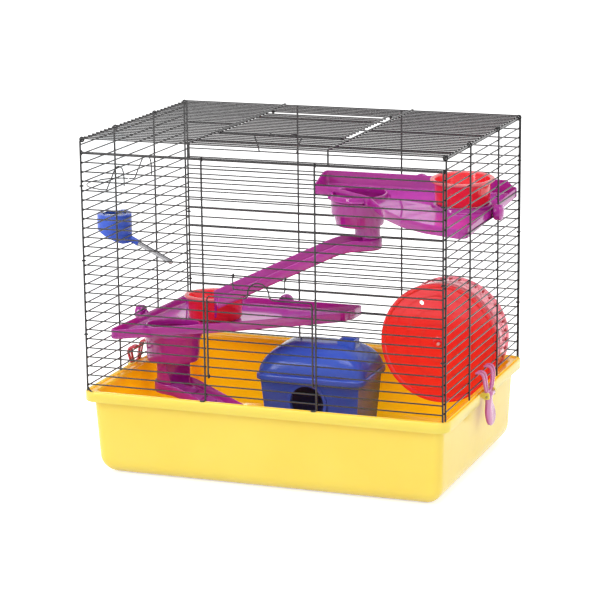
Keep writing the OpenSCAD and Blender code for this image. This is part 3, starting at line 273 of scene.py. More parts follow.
# Painted light: a paler copy of the purple for the thin floors, standing in for light reflected off them and
# let through them, beside their real transmission
purple_floor_painted_light = moulded_plastic(
    "purple_floor_painted_light", (0.66, 0.09, 0.58), (0.56, 0.05, 0.48), rough=0.08, transmit=0.4, ior=1.3, glow=0.25)
red = moulded_plastic(
    "red_plastic", (0.97, 0.012, 0.03), (0.93, 0.009, 0.024), rough=0.14, transmit=0.05, glow=0.3)
red_edge = moulded_plastic(
    "red_edge", (0.93, 0.04, 0.065), (0.9, 0.03, 0.05), rough=0.12, transmit=0.15, glow=0.2)
red_rim = moulded_plastic(
    "red_rim", (0.95, 0.2, 0.22), (0.93, 0.12, 0.14), rough=0.1, transmit=0.3, ior=1.35)
red_clear = moulded_plastic(
    "red_clear", (0.95, 0.3, 0.36), (0.93, 0.24, 0.3), rough=0.1, transmit=0.65, ior=1.2)
red_dark = moulded_plastic("red_dark", (0.5, 0.004, 0.012), (0.42, 0.003, 0.01), rough=0.15)
blue = moulded_plastic(
    "blue_plastic", (0.05, 0.125, 0.62), (0.04, 0.095, 0.54), rough=0.12, coat=0.0, ior=1.32, glow=0.15)
# Painted highlight: a paler, glossier copy of the blue for the rounded top of the eave
blue_eave_painted_highlight = moulded_plastic(
    "blue_eave_painted_highlight", (0.065, 0.15, 0.68), (0.055, 0.12, 0.62), rough=0.09, coat=0.2, glow=0.15)
pink = moulded_plastic("pink_plastic", (0.62, 0.2, 0.4), (0.54, 0.06, 0.3), rough=0.1, transmit=0.15)
# Painted shade: a deep crimson copy of the clip's pink for the left clip, which stands in shade
clip_pink_painted_shade = spotted_plastic("crimson_plastic", (0.62, 0.012, 0.05), (0.85, 0.3, 0.42))
pale = moulded_plastic("axle_end", (0.8, 0.42, 0.42), (0.74, 0.36, 0.36))
white = moulded_plastic("white_plastic", (0.85, 0.85, 0.84), (0.8, 0.8, 0.79))
clear = clear_plastic("clear_plastic", (0.97, 0.985, 0.99))
tray_outside = moulded_plastic(
    "yellow_plastic", (0.84, 0.65, 0.11), (0.82, 0.62, 0.095), rough=0.2, coat=0.0, ior=1.36, glow=0.5)
# Painted light: a deeper orange copy of the tray's yellow for its inside and groove, standing in for light
# bounced about inside the tub and shade in the groove, with a painted glow added
tray_inside_painted_light = moulded_plastic(
    "yellow_inside_painted_light", (1.0, 0.52, 0.006), (0.99, 0.49, 0.005), rough=0.12, coat=0.3, glow=0.9,
    lift=(1.0, 0.36, 0.01))

SLOT_MATERIAL = {
    "wire": wire, "bright_steel": steel, "yellow_plastic": tray_outside, "purple_plastic": purple,
    "red_plastic": red, "blue_plastic": blue, "pink_plastic": pink, "crimson_plastic": clip_pink_painted_shade,
    "white_plastic": white, "clear_plastic": clear,
}

for part in frame["record"]["subparts"]:
    piece = nodes[part["node"]]
    piece.data.materials.clear()
    piece.data.materials.append(SLOT_MATERIAL[part["material_slot"]])


# Smooth shading for the solids that are shown as they are

CREASE_DEGREES = 32


def smoothing_group():
    group = bpy.data.node_groups.new("smooth_shading", "GeometryNodeTree")
    group.interface.new_socket("Geometry", in_out="INPUT", socket_type="NodeSocketGeometry")
    group.interface.new_socket("Geometry", in_out="OUTPUT", socket_type="NodeSocketGeometry")
    start = add(group, "NodeGroupInput")
    end = add(group, "NodeGroupOutput")
    faces = add(group, "GeometryNodeSetShadeSmooth", domain="FACE")
    edges = add(group, "GeometryNodeSetShadeSmooth", domain="EDGE")
    angle = add(group, "GeometryNodeInputMeshEdgeAngle")
    sharp = add(group, "FunctionNodeCompare", data_type="FLOAT", operation="GREATER_THAN")
    sharp.inputs["B"].default_value = math.radians(CREASE_DEGREES)
    edges.inputs["Shade Smooth"].default_value = False
    group.links.new(start.outputs[0], faces.inputs["Geometry"])
    group.links.new(faces.outputs["Geometry"], edges.inputs["Geometry"])
    group.links.new(angle.outputs["Unsigned Angle"], sharp.inputs["A"])
    group.links.new(sharp.outputs["Result"], edges.inputs["Selection"])
    group.links.new(edges.outputs["Geometry"], end.inputs[0])
    return group


smoothing = smoothing_group()
for piece in nodes.values():
    piece.modifiers.new("smooth", "NODES").node_group = smoothing


# Mesh builder

MERGE_DISTANCE = 1e-5
CORNER_STEPS = 8


class Shape:
    """Points, faces and a material number for each face, in millimetres"""

    def __init__(self):
        self.points = []
        self.faces = []
        self.marks = []

    def loop(self, points):
        start = len(self.points)
        self.points.extend(points)
        return list(range(start, len(self.points)))

    def bridge(self, low, high, mark=0, closed=True):
        count = len(low)
        for i in range(count if closed else count - 1):
            j = (i + 1) % count
            self.faces.append((low[i], low[j], high[j], high[i]))
            self.marks.append(mark)

    def face(self, ring, mark=0):
        self.faces.append(tuple(ring))
        self.marks.append(mark)

    def loft(self, loops, marks=None, closed=True):
        """Skin through loops of points"""
        rows = [self.loop(points) for points in loops]
        for i in range(len(rows) - 1):
            self.bridge(rows[i], rows[i + 1], marks[i] if marks else 0, closed)
        return rows

    def solid(self, loops):
        """Skin through loops of points, with a face at both ends"""
        rows = self.loft(loops)
        self.face(rows[0][::-1])
        self.face(rows[-1])

    def fill(self, outlines, z_of, mark=0, flip=False):
        """Flat floor inside the first outline and outside the others, at a height given by a function"""
        work = bmesh.new()
        for outline in outlines:
            made = [work.verts.new((p[0], p[1], 0)) for p in outline]
            for i in range(len(made)):
                work.edges.new((made[i], made[(i + 1) % len(made)]))
        bmesh.ops.triangle_fill(work, use_beauty=True, edges=work.edges[:], normal=(0, 0, 1))
        work.verts.index_update()
        start = len(self.points)
        self.points.extend((v.co.x, v.co.y, z_of(v.co.x, v.co.y)) for v in work.verts)
        for f in work.faces:
            ring = [start + v.index for v in f.verts]
            up = f.normal.z > 0
            if up == flip:
                ring.reverse()
            self.faces.append(tuple(ring))
            self.marks.append(mark)
        work.free()


def make(name, shape, materials, place, sharp):
    """Object from a shape, moved by 'place', smooth but for creases over 'sharp' degrees"""
    mesh = bpy.data.meshes.new(name)
    mesh.from_pydata([(x * MM, y * MM, z * MM) for x, y, z in shape.points], [], shape.faces)
    for material in materials:
        mesh.materials.append(material)
    for face, mark in zip(mesh.polygons, shape.marks):
        face.material_index = mark
    work = bmesh.new()
    work.from_mesh(mesh)
    bmesh.ops.remove_doubles(work, verts=work.verts[:], dist=MERGE_DISTANCE)
    bmesh.ops.dissolve_degenerate(work, edges=work.edges[:], dist=MERGE_DISTANCE)
    bmesh.ops.recalc_face_normals(work, faces=work.faces[:])
    work.to_mesh(mesh)
    work.free()
    mesh.shade_smooth()
    mesh.set_sharp_from_angle(angle=math.radians(sharp))
    if place is not None:
        mesh.transform(place)
    piece = bpy.data.objects.new(name, mesh)
    bpy.context.scene.collection.objects.link(piece)
    return piece


def register(piece, body, slot, *replaced):
    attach(piece, body)
    if replaced:
        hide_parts(*replaced)


def move(x, y, z):
    """Shift in millimetres"""
    return Matrix.Translation((x * MM, y * MM, z * MM))


def turn(degrees, axis):
    return Matrix.Rotation(math.radians(degrees), 4, axis)


def level(z):
    """Height that is the same everywhere"""
    return lambda x, y: z


def circle(r, z, n=96, centre=(0, 0)):
    turns = [2 * math.pi * i / n for i in range(n)]
    return [(centre[0] + r * math.cos(a), centre[1] + r * math.sin(a), z) for a in turns]


def lathe(shape, profile, n=96, marks=None, centre=(0, 0)):
    """Turned body from (radius, height) pairs; a radius of zero closes the end"""
    return shape.loft([circle(max(r, 0.01), z, n, centre) for r, z in profile], marks)


def rounded_outline(points, radii):
    """Closed outline with arcs at its corners, counter-clockwise"""
    out = []
    count = len(points)
    for i in range(count):
        a, b, c = (Vector(points[(i + k) % count]) for k in (-1, 0, 1))
        u = (a - b).normalized()
        v = (c - b).normalized()
        half = math.acos(max(-1, min(1, u.dot(v)))) / 2
        r = radii[i]
        reach = r / math.tan(half)
        centre = b + (u + v).normalized() * (r / math.sin(half))
        p = b + u * reach - centre
        q = b + v * reach - centre
        start = math.atan2(p.y, p.x)
        swing = math.atan2(p.x * q.y - p.y * q.x, p.dot(q))
        for k in range(CORNER_STEPS + 1):
            angle = start + swing * k / CORNER_STEPS
            out.append((centre.x + r * math.cos(angle), centre.y + r * math.sin(angle)))
    return out


def densify(points, longest):
    """Points added on long straight stretches"""
    out = []
    for i, p in enumerate(points):
        q = points[(i + 1) % len(points)]
        dx, dy = q[0] - p[0], q[1] - p[1]
        parts = max(1, math.ceil(math.hypot(dx, dy) / longest))
        out.extend((p[0] + dx * k / parts, p[1] + dy * k / parts) for k in range(parts))
    return out


def inward(points, closed=True):
    """Inward normal at each point of a counter-clockwise outline"""
    out = []
    count = len(points)
    for i in range(count):
        a = points[i - 1] if closed or i > 0 else points[0]
        b = points[(i + 1) % count] if closed or i < count - 1 else points[-1]
        dx, dy = b[0] - a[0], b[1] - a[1]
        span = math.hypot(dx, dy) or 1
        out.append((-dy / span, dx / span))
    return out


def smooth_step(t):
    t = max(0, min(1, t))
    return t * t * (3 - 2 * t)


# Base tray

SIDE_X, FACE_Y = 238, 169
RIM_Z = 113.5
LIP_BOTTOM = 100
TUB_INSET = 6.8
TUB_BOTTOM_R = 26
TUB_CORNER_R = 14
TUB_WALL = 2.5
TUB_FLOOR_Z = 3
RIDGE_OUT = 2.55
POCKET_HALF = 33
POCKET_TOP_Z = 108
POCKET_DEPTH = 20
# Two rows of points this close to a pocket's end make its step
POCKET_STEP = 0.02
EAR_Y = 14.5
BLOCK_HALF = 1.4
# The second material number, on the groove and the inside, carries the tray's painted inside light
OUTER_YELLOW, INNER_PAINTED_YELLOW = 0, 1


def tray_outline(out, r):
    """Tray outline at a distance outside the grille planes, with points at the clip pockets' ends"""
    x, y = SIDE_X + out, FACE_Y + out
    r = max(r, 0.5)
    half = [11, POCKET_HALF - POCKET_STEP, POCKET_HALF + POCKET_STEP, 80, 120]
    stops = [-s for s in reversed(half)] + half
    along = [-180, -120, -60, 0, 60, 120, 180]
    corner = [(math.cos(math.radians(a)), math.sin(math.radians(a))) for a in range(0, 91, 9)]
    points = [(x, s) for s in stops]
    points += [(x - r + r * c, y - r + r * s) for c, s in corner]
    points += [(-s, y) for s in along]
    points += [(-x + r - r * s, y - r + r * c) for c, s in corner]
    points += [(-x, -s) for s in stops]
    points += [(-x + r - r * c, -y + r - r * s) for c, s in corner]
    points += [(s, -y) for s in along]
    points += [(x - r + r * s, -y + r - r * c) for c, s in corner]
    return points


# Outer wall and lip, groove behind the lip, top of the ridge and inner wall:
# distance outside the grille planes, height and corner radius
TRAY_LIP = [
    (-3.3, 99, 13), (-3.2, 107, 13), (-4.2, 108, 14.4), (4.2, 108, 14.8), (4.9, 107.4, 15.4),
    (4.9, LIP_BOTTOM + 0.4, 15.4), (5.3, LIP_BOTTOM, 15.8), (6.1, LIP_BOTTOM, 16.6),
    (6.5, LIP_BOTTOM + 0.5, 17), (6.5, 111.6, 17), (6.2, 112.7, 16.7), (5.6, 113.2, 16.1), (5.0, 113.0, 15.5)]
TRAY_GROOVE = [
    (4.7, 112.3, 15.2), (4.5, 110.4, 15), (4.1, 110, 14.6), (3.0, 110, 13.5), (2.6, 110.4, 13.1),
    (RIDGE_OUT, 113.0, 13)]
TRAY_RIDGE = [(2.2, RIM_Z, 12.7), (1.2, RIM_Z, 11.7)]
TRAY_INSIDE = [
    (0.85, 113.1, 11.4), (0.8, 111.8, 11.3), (0.2, 111.3, 10.8), (-4.6, 111.3, 11), (-6.2, 110.8, 11.2),
    (-7.1, 109.6, 11.4), (-7.3, 108, 11.5), (-7.3, 101, 11.5)]


def tray_profile():
    """Distance outside the grille planes, height, corner radius and material of the face above"""
    quarter = [(math.cos(math.radians(a)), math.sin(math.radians(a))) for a in range(-90, 1, 9)]
    foot = -TUB_INSET - TUB_BOTTOM_R
    rows = [(foot + TUB_BOTTOM_R * c, TUB_BOTTOM_R + TUB_BOTTOM_R * s, TUB_CORNER_R * c, OUTER_YELLOW)
            for c, s in quarter]
    rows += [(*row, OUTER_YELLOW) for row in TRAY_LIP]
    rows += [(*row, INNER_PAINTED_YELLOW) for row in TRAY_GROOVE]
    rows += [(*row, OUTER_YELLOW) for row in TRAY_RIDGE]
    rows += [(*row, INNER_PAINTED_YELLOW) for row in TRAY_INSIDE]
    reach = TUB_BOTTOM_R - TUB_WALL
    rows += [(foot + reach * c, TUB_FLOOR_Z + reach + reach * s, reach * c, INNER_PAINTED_YELLOW)
             for c, s in reversed(quarter)]
    return rows


def in_pocket(point):
    return abs(point[1]) < POCKET_HALF and abs(point[0]) > SIDE_X - POCKET_DEPTH


def base_tray():
    shape = Shape()
    loops = []
    rows = tray_profile()
    for out, z, r, _ in rows:
        flat = tray_outline(out, r)
        inner = tray_outline(min(out, RIDGE_OUT), r)
        loops.append([
            (q[0], q[1], max(z, POCKET_TOP_Z)) if in_pocket(p) and out > RIDGE_OUT else (p[0], p[1], z)
            for p, q in zip(flat, inner)])
    shape.loft(loops, [row[3] for row in rows])
    shape.fill([loops[0]], level(0), OUTER_YELLOW, True)
    shape.fill([loops[-1]], level(TUB_FLOOR_Z), INNER_PAINTED_YELLOW)
    for side in (-1, 1):
        for s in (-1, 1):
            ear(shape, side, s * EAR_Y)
            pocket_end(shape, side, s * (POCKET_HALF - BLOCK_HALF))
    piece = make("tray", shape, [tray_outside, tray_inside_painted_light], None, 40)
    register(piece, "cage", "yellow_plastic", "base_tray")


def ear(shape, side, y):
    """One of the ears that carry a clip's pin"""
    outline = [(236, 108.3), (236, 111.3), (246, 111.3), (250.6, 111.1), (251.6, 110), (252, 103.6),
               (251.4, 102.9), (245.8, 102.5)]
    middle_x, middle_z = 245, 107.5
    loops = []
    for shift, bevel in ((-1.6, 0.05), (-2, 0), (2, 0), (1.6, 0.05)):
        loops.append([(side * (x + (middle_x - x) * bevel), y + shift, z + (middle_z - z) * bevel)
                      for x, z in outline])
    shape.solid(loops)


def pocket_end(shape, side, y):
    """Small block that closes the lip at each end of a clip pocket"""
    loops = []
    for z, less in ((104, 0.5), (104.4, 0), (112.2, 0), (112.7, 0.5)):
        x1, x2 = side * (240.2 + less), side * (244.2 - less)
        y1, y2 = y - BLOCK_HALF + less, y + BLOCK_HALF - less
        loops.append([(x1, y1, z), (x2, y1, z), (x2, y2, z), (x1, y2, z)])
    shape.solid(loops)


# Shelves

SHELF_X, SHELF_Y = 236.8, 167.8
SHELF_WALL = 2.2
SHELF_RIM = 10.5
SHELF_STEP = 9
UPPER_Z, UPPER_TILT = 335, 2.8
LOWER_Z, LOWER_TILT = 158, -2.2
# Material number of the floors, which get the paler purple with painted light; the walls have the first
FLOOR = 1


def tilted_place(x, z, degrees):
    return move(x, SHELF_Y, z) @ turn(degrees, "X")


UPPER_PLACE = tilted_place(SHELF_X, UPPER_Z, UPPER_TILT)
LOWER_PLACE = tilted_place(-SHELF_X, LOWER_Z, LOWER_TILT)

UPPER_OUTLINE = [(0, -244), (0, 0), (-270, 0), (-268, -59), (-232, -66), (-174, -102), (-130, -167),
                 (-98, -200), (-60, -224)]
UPPER_RADII = [10, 6, 6, 8, 20, 20, 30, 30, 40]
LOWER_OUTLINE = [(0, -280), (99, -202), (130, -175), (203, -106), (249, -60), (256, -33), (256, 0), (0, 0)]
LOWER_RADII = [8, 40, 40, 60, 20, 20, 6, 6]
UPPER_HOLE, UPPER_HOLE_R = (-200, -63), 35
LOWER_HOLE, LOWER_HOLE_R = (54, -187), 34
UPPER_BOWL = (-50, -87)
LOWER_BOWL = (81, -105)
SEAT_R = 35

# Section of the wall round a shelf: inset, height and share of the rim's height
SHELF_SECTION = [
    (0.5, -SHELF_WALL, 0), (0, -SHELF_WALL + 0.5, 0), (0, -0.9, 1), (0.35, -0.3, 1), (1.1, 0, 1),
    (1.85, -0.3, 1), (2.2, -0.9, 1), (2.5, 2.6, 0), (3.1, 1.0, 0), (4.4, 0.15, 0), (5.6, 0, 0)]
# Collar of a hole and ring of a bowl's seat: distance outside their radius, and height
COLLAR = [
    (7, 0), (4.9, 0.5), (3.9, 1.8), (3.4, 4.8), (2.7, 5.8), (1.5, 6.1), (0.4, 5.7), (0, 4.6),
    (0, -SHELF_WALL), (3, -SHELF_WALL)]
SEAT_RING = [
    (8, 0), (5, 0.4), (3.9, 1.4), (3, 5.2), (2, 5.9), (-1.5, 6), (-2.6, 5.4), (-3, 4.4), (-3, -12.4),
    (-2.4, -13), (2.4, -13), (3, -12.4), (3.2, -3.2), (4, -SHELF_WALL)]
# Height of the wall along the upper shelf's back, its right end, and where it starts to rise
HIGH_RIM, HIGH_RIM_X = 19, -8
RISE_Y, RISE_RUN = -56, 48


def upper_rim(x, y):
    """Height of the upper shelf's wall: high along the back, falling along the left end"""
    if x < HIGH_RIM_X:
        return SHELF_RIM + (HIGH_RIM - SHELF_RIM) * smooth_step((y - RISE_Y) / RISE_RUN)
    return SHELF_RIM


def shelf(name, outline, radii, rim, hole, hole_r, place, replaced, seat=None):
    shape = Shape()
    flat = densify(rounded_outline(outline, radii), SHELF_STEP)
    facing = inward(flat)
    loops = []
    for inset, height, share in SHELF_SECTION:
        loops.append([(p[0] + n[0] * inset, p[1] + n[1] * inset, height + share * rim(p[0], p[1]))
                      for p, n in zip(flat, facing)])
    shape.loft(loops)
    rings = [(hole, hole_r, COLLAR)]
    if seat:
        rings.append((seat, SEAT_R, SEAT_RING))
    floor_holes = []
    under_holes = []
    for centre, r, profile in rings:
        lathe(shape, [(r + out, z) for out, z in profile], centre=centre)
        floor_holes.append(circle(r + profile[0][0], 0, centre=centre))
        under_holes.append(circle(r + profile[-1][0], 0, centre=centre))
    shape.fill([loops[-1]] + floor_holes, level(0), FLOOR)
    shape.fill([loops[0]] + under_holes, level(-SHELF_WALL), FLOOR, True)
    piece = make(name, shape, [purple, purple_floor_painted_light], place, 40)
    register(piece, "cage", "purple_plastic", replaced)


# Funnel under the lower shelf

CUP_H = 41
CUP_INNER_R, CUP_OUTER_R = 31, 32
CUP_FLOOR = 2
TUBE_R, TUBE_WALL, TUBE_H = 25, 2, 37
TUBE_SHIFT = (4.2, -2)
# The tube's wall runs from the first angle to the last, which grows towards its foot
WALL_START, WALL_END, WALL_GROWTH = 62, 259, 26
WALL_STEPS = 40


def tube_wall(z, last):
    """Part ring of the tube at a height, open on the side of the ramp"""
    angles = [math.radians(WALL_START + (last - WALL_START) * k / WALL_STEPS) for k in range(WALL_STEPS + 1)]
    out = [(TUBE_R, a) for a in angles] + [(TUBE_R - TUBE_WALL, a) for a in reversed(angles)]
    return [(TUBE_SHIFT[0] + r * math.cos(a), TUBE_SHIFT[1] + r * math.sin(a), z) for r, a in out]


def lower_bell():
    """Stepped cup and a tube whose mouth opens onto the ramp"""
    shape = Shape()
    top, base = -SHELF_WALL + 0.1, -SHELF_WALL - CUP_H
    lathe(shape, [
        (CUP_INNER_R, base + CUP_FLOOR), (32.4, base + 3.2), (33.6, -30), (33.8, -19), (34.6, -15.5),
        (36.4, -10), (37.2, -6), (37.2, top), (39.4, top), (39.4, -6), (38.6, -10.5), (36.6, -15.5),
        (35.8, -19), (35.6, -30), (34.6, base + 2.7), (33.6, base + 0.6), (CUP_OUTER_R, base)])
    bore = TUBE_R - TUBE_WALL
    mouth = circle(bore, 0, 72, TUBE_SHIFT)
    shape.fill([circle(CUP_INNER_R, 0), mouth], level(base + CUP_FLOOR))
    shape.fill([circle(CUP_OUTER_R, 0), mouth], level(base), flip=True)
    lathe(shape, [(bore, base), (bore, base + CUP_FLOOR)], 72, centre=TUBE_SHIFT)
    sink = 0.5
    rings = [tube_wall(base + sink - (TUBE_H + sink) * t, WALL_END + WALL_GROWTH * t)
             for t in (0, 0.4, 0.7, 1)]
    shape.loft(rings)
    for ring, flip in ((rings[0], False), (rings[-1], True)):
        shape.fill([ring], level(ring[0][2]), flip=flip)
    piece = make("lower_bell", shape, [purple], LOWER_PLACE @ move(*LOWER_HOLE, 0), 40)
    register(piece, "cage", "purple_plastic", "lower_funnel")


# Ramps

BEND_HALF = 16
RAMP_FLOOR = 2.2
RUNG_START, RUNG_PITCH, RUNG_MARGIN = 15, 13, 8
HEAD_DROP = 3.5


def channel(name, half_w, height, back, head, run, slope, place, replaced, rungs, leg=None):
    """Moulded slide: a level rounded head, a soft bend and a straight slope, with a low wall round it"""
    shape = Shape()
    length = head + run
    centre = half_w - back
    fall = math.tan(math.radians(slope))

    def drop(d):
        if d < head - BEND_HALF:
            return 0
        if d < head + BEND_HALF:
            t = (d - head + BEND_HALF) / (2 * BEND_HALF)
            return -fall * BEND_HALF * t * t
        return -fall * (d - head)

    steps = max(8, int((length - centre) / 6))
    turns = [math.radians(a) for a in range(0, 181, 9)]
    left = [(centre + (length - centre) * (1 - k / steps), half_w) for k in range(steps)]
    arc = [(centre - half_w * math.sin(a), half_w * math.cos(a)) for a in turns]
    right = [(centre + (length - centre) * (k + 1) / steps, -half_w) for k in range(steps)]
    plan = left + arc + right
    facing = inward(plan, False)
    facing[0] = (0, -1)
    facing[-1] = (0, 1)
    profile = [(3.6, 0), (1.4, 0.1), (0.3, 0.9), (0, 2.2), (0.3, height - 0.9), (0.7, height - 0.2),
               (1.3, height), (1.9, height - 0.2), (2.3, height - 0.9), (2.5, 4.2), (3.2, 2.7),
               (4.6, RAMP_FLOOR)]
    rows = shape.loft([[(p[0] + n[0] * inset, p[1] + n[1] * inset, drop(p[0]) + z)
                        for p, n in zip(plan, facing)] for inset, z in profile], closed=False)
    for row, mark in ((rows[0], 0), (rows[-1], FLOOR)):
        count = len(row)
        for i in range(count // 2):
            ring = (row[i], row[i + 1], row[count - 2 - i], row[count - 1 - i])
            shape.face(ring if mark == 0 else ring[::-1], mark)
    for end in (0, -1):
        ring = [row[end] for row in rows]
        shape.face(ring if end == 0 else ring[::-1])
    shape.face((rows[0][0], rows[-1][0], rows[-1][-1], rows[0][-1]))
    for k in range(rungs):
        d = head + RUNG_START + RUNG_PITCH * k
        rung(shape, d, drop(d) + RAMP_FLOOR, half_w - RUNG_MARGIN, math.atan(fall))
    if leg:
        ramp_leg(shape, length, drop(length), half_w, leg)
    piece = make(name, shape, [purple, purple_floor_painted_light], place, 42)
    register(piece, "cage", "purple_plastic", replaced)


def rung(shape, d, z, half, lean):
    """Low rounded foothold across a ramp"""
    outline = [(-1.6, -0.4), (-1.2, 0.5), (-0.5, 1.0), (0.5, 1.0), (1.2, 0.5), (1.6, -0.4)]
    loops = []
    for y, size in ((-half, 0.2), (-half + 1, 1), (half - 1, 1), (half, 0.2)):
        loops.append([(d + a * size * math.cos(lean) + b * size * math.sin(lean), y,
                       z - a * size * math.sin(lean) + b * size * math.cos(lean)) for a, b in outline])
    shape.solid(loops)


def ramp_leg(shape, length, z, half_w, tall):
    """Foot under the ramp's low end"""
    loops = []
    for height, size in ((3, 1), (-tall + 6, 0.85), (-tall + 1, 0.7), (-tall, 0.5)):
        x1, x2 = length - 3.2 * size, length - 0.1
        y1, y2 = -half_w + 0.1, -half_w + 7 * size
        loops.append([(x, y, z + height) for x, y in ((x1, y1), (x2, y1), (x2, y2), (x1, y2))])
    shape.solid(loops)


# Bowls

BOWL_H = 33
BOWL_R = 42
UPPER_BOWL_LIFT, LOWER_BOWL_LIFT = 6.3, 0.3
BOWL_PROFILE = [
    (0, 0), (31, 0), (33.4, 0.3), (35.2, 1.6), (36, 4), (36.9, BOWL_H - 5.4), (37.3, BOWL_H - 4.2),
    (38.6, BOWL_H - 3.8), (BOWL_R - 0.8, BOWL_H - 3.8), (BOWL_R - 0.1, BOWL_H - 3.2), (BOWL_R, BOWL_H - 1.6),
    (BOWL_R - 0.5, BOWL_H - 0.5), (BOWL_R - 1.6, BOWL_H), (37.4, BOWL_H), (36.2, BOWL_H - 0.5),
    (35.6, BOWL_H - 1.8), (34.1, 6), (33, 3.6), (31, 2.3), (28, 2), (0, 2)]
# Rows of the profile whose faces are part of the paler rim
BOWL_RIM_ROWS = range(6, 15)


def bowl(name, body, place, at, lift, replaced):
    shape = Shape()
    marks = [1 if i in BOWL_RIM_ROWS else 0 for i in range(len(BOWL_PROFILE))]
    lathe(shape, BOWL_PROFILE, 120, marks)
    piece = make(name, shape, [red, red_rim], place @ move(*at, lift), 50)
    register(piece, body, "red_plastic", replaced)


# House roof

HOUSE_W, HOUSE_D = 140, 97
HOUSE_X, HOUSE_Y = -18, 102.5
HOUSE_FOOT_Z, HOUSE_WALL_H, ROOF_GAP = 3.3, 81, 0.3
ROOF_Z = HOUSE_FOOT_Z + HOUSE_WALL_H + ROOF_GAP
ROOF_H = 47
ROOF_SKIN = 2.4
OVERHANG = 8
ROOF_HALF_X, ROOF_HALF_Y = HOUSE_W / 2 + OVERHANG, HOUSE_D / 2 + OVERHANG
EAVE_SQUARENESS = 9
# Eave from its lower edge to the dome's foot: inset, height and material number; the second material is the
# blue with a painted highlight, on the rounded top of the band
EAVE = [(ROOF_SKIN, 0, 0), (0.7, 0, 0), (0.1, 0.6, 0), (0, 1.4, 0), (0, 6.4, 1), (0.25, 7.3, 1),
        (0.9, 7.9, 1), (2.2, 8.1, 0)]
DOME_FOOT_Z, DOME_INSET = 8.4, 2
DOME_TOP_X, DOME_TOP_Y = 28, 14
DOME_SPREAD, DOME_RISE = 1.1, 1.04
DOME_SQUARENESS, DOME_SOFTENING = 8, 4.5
CHIMNEY_X = 39


def soft_rect(half_x, half_y, z, power, n=96):
    """Rounded rectangle with evenly turning sides, squarer with a higher power"""
    out = []
    for i in range(n):
        a = 2 * math.pi * (i + 0.5) / n
        c, s = math.cos(a), math.sin(a)
        k = (abs(c) ** power + abs(s) ** power) ** (-1 / power)
        out.append((half_x * c * k, half_y * s * k, z))
    return out


def eave(inset, z):
    return soft_rect(ROOF_HALF_X - inset, ROOF_HALF_Y - inset, z, EAVE_SQUARENESS)


def dome(less, t):
    """Loop of the dome at a share of the quarter turn from eave to top, 'less' inside the outer skin"""
    a = math.radians(90 * t)
    spread = math.cos(a) ** DOME_SPREAD
    rise = math.sin(a) ** DOME_RISE
    return soft_rect(
        DOME_TOP_X + (ROOF_HALF_X - DOME_INSET - DOME_TOP_X - less) * spread,
        DOME_TOP_Y + (ROOF_HALF_Y - DOME_INSET - DOME_TOP_Y - less) * spread,
        DOME_FOOT_Z + (ROOF_H - DOME_FOOT_Z - less) * rise, DOME_SQUARENESS - DOME_SOFTENING * t)


def house_roof():
    shape = Shape()
    outer = [dome(0, t / 14) for t in range(14)]
    loops = [eave(inset, z) for inset, z, _ in EAVE] + outer
    marks = [mark for _, _, mark in EAVE] + [0] * len(outer)
    made = shape.loft(loops, marks)
    top = shape.loop([(x * 0.5, y * 0.5, ROOF_H - 0.12) for x, y, _ in outer[-1]])
    shape.bridge(made[-1], top)
    shape.face(top)
    under = [eave(ROOF_SKIN, 0), eave(ROOF_SKIN, 6)] + [dome(ROOF_SKIN, t / 10) for t in range(10)]
    inner = shape.loft(under)
    shape.face(inner[-1][::-1])
    chimney(shape)
    piece = make("roof_shell", shape, [blue, blue_eave_painted_highlight], move(HOUSE_X, HOUSE_Y, ROOF_Z), 42)
    register(piece, "house_roof", "blue_plastic", "house_roof")


def chimney(shape):
    """Square hollow chimney with rounded edges"""
    profile = [(13.4, 11.4, ROOF_H * 0.55), (13, 11, ROOF_H * 0.6), (13, 11, ROOF_H + 3.8),
               (12.7, 10.7, ROOF_H + 4.6), (12, 10, ROOF_H + 5), (10, 8, ROOF_H + 5),
               (9.3, 7.3, ROOF_H + 4.6), (9, 7, ROOF_H + 3.8), (9, 7, ROOF_H - 10)]
    loops = [[(CHIMNEY_X + x, y, z) for x, y, z in soft_rect(half_x, half_y, height, 12, 64)]
             for half_x, half_y, height in profile]
    made = shape.loft(loops)
    shape.face(made[-1])


# Wheel

WHEEL_X, WHEEL_Z, WHEEL_Y = 153, 144, 90
WHEEL_R, DRUM_R, DRUM_W = 81, 78, 58
DISC_T = 4
DISC_FACE = 0.08
DISC_HOLE, DISC_HOLE_R = (-25, -53), 3.25
HUB_R, HUB_BORE_R = 9, 1.9
RUNGS = 40
RUNG_HALF = 1.5
RING_RADII = (26, 46, 64)


def wheel_place():
    """Local Z runs backwards along the axle"""
    backwards = Matrix(((1, 0, 0), (0, 0, 1), (0, -1, 0))).to_4x4()
    return move(WHEEL_X, WHEEL_Y, WHEEL_Z) @ backwards


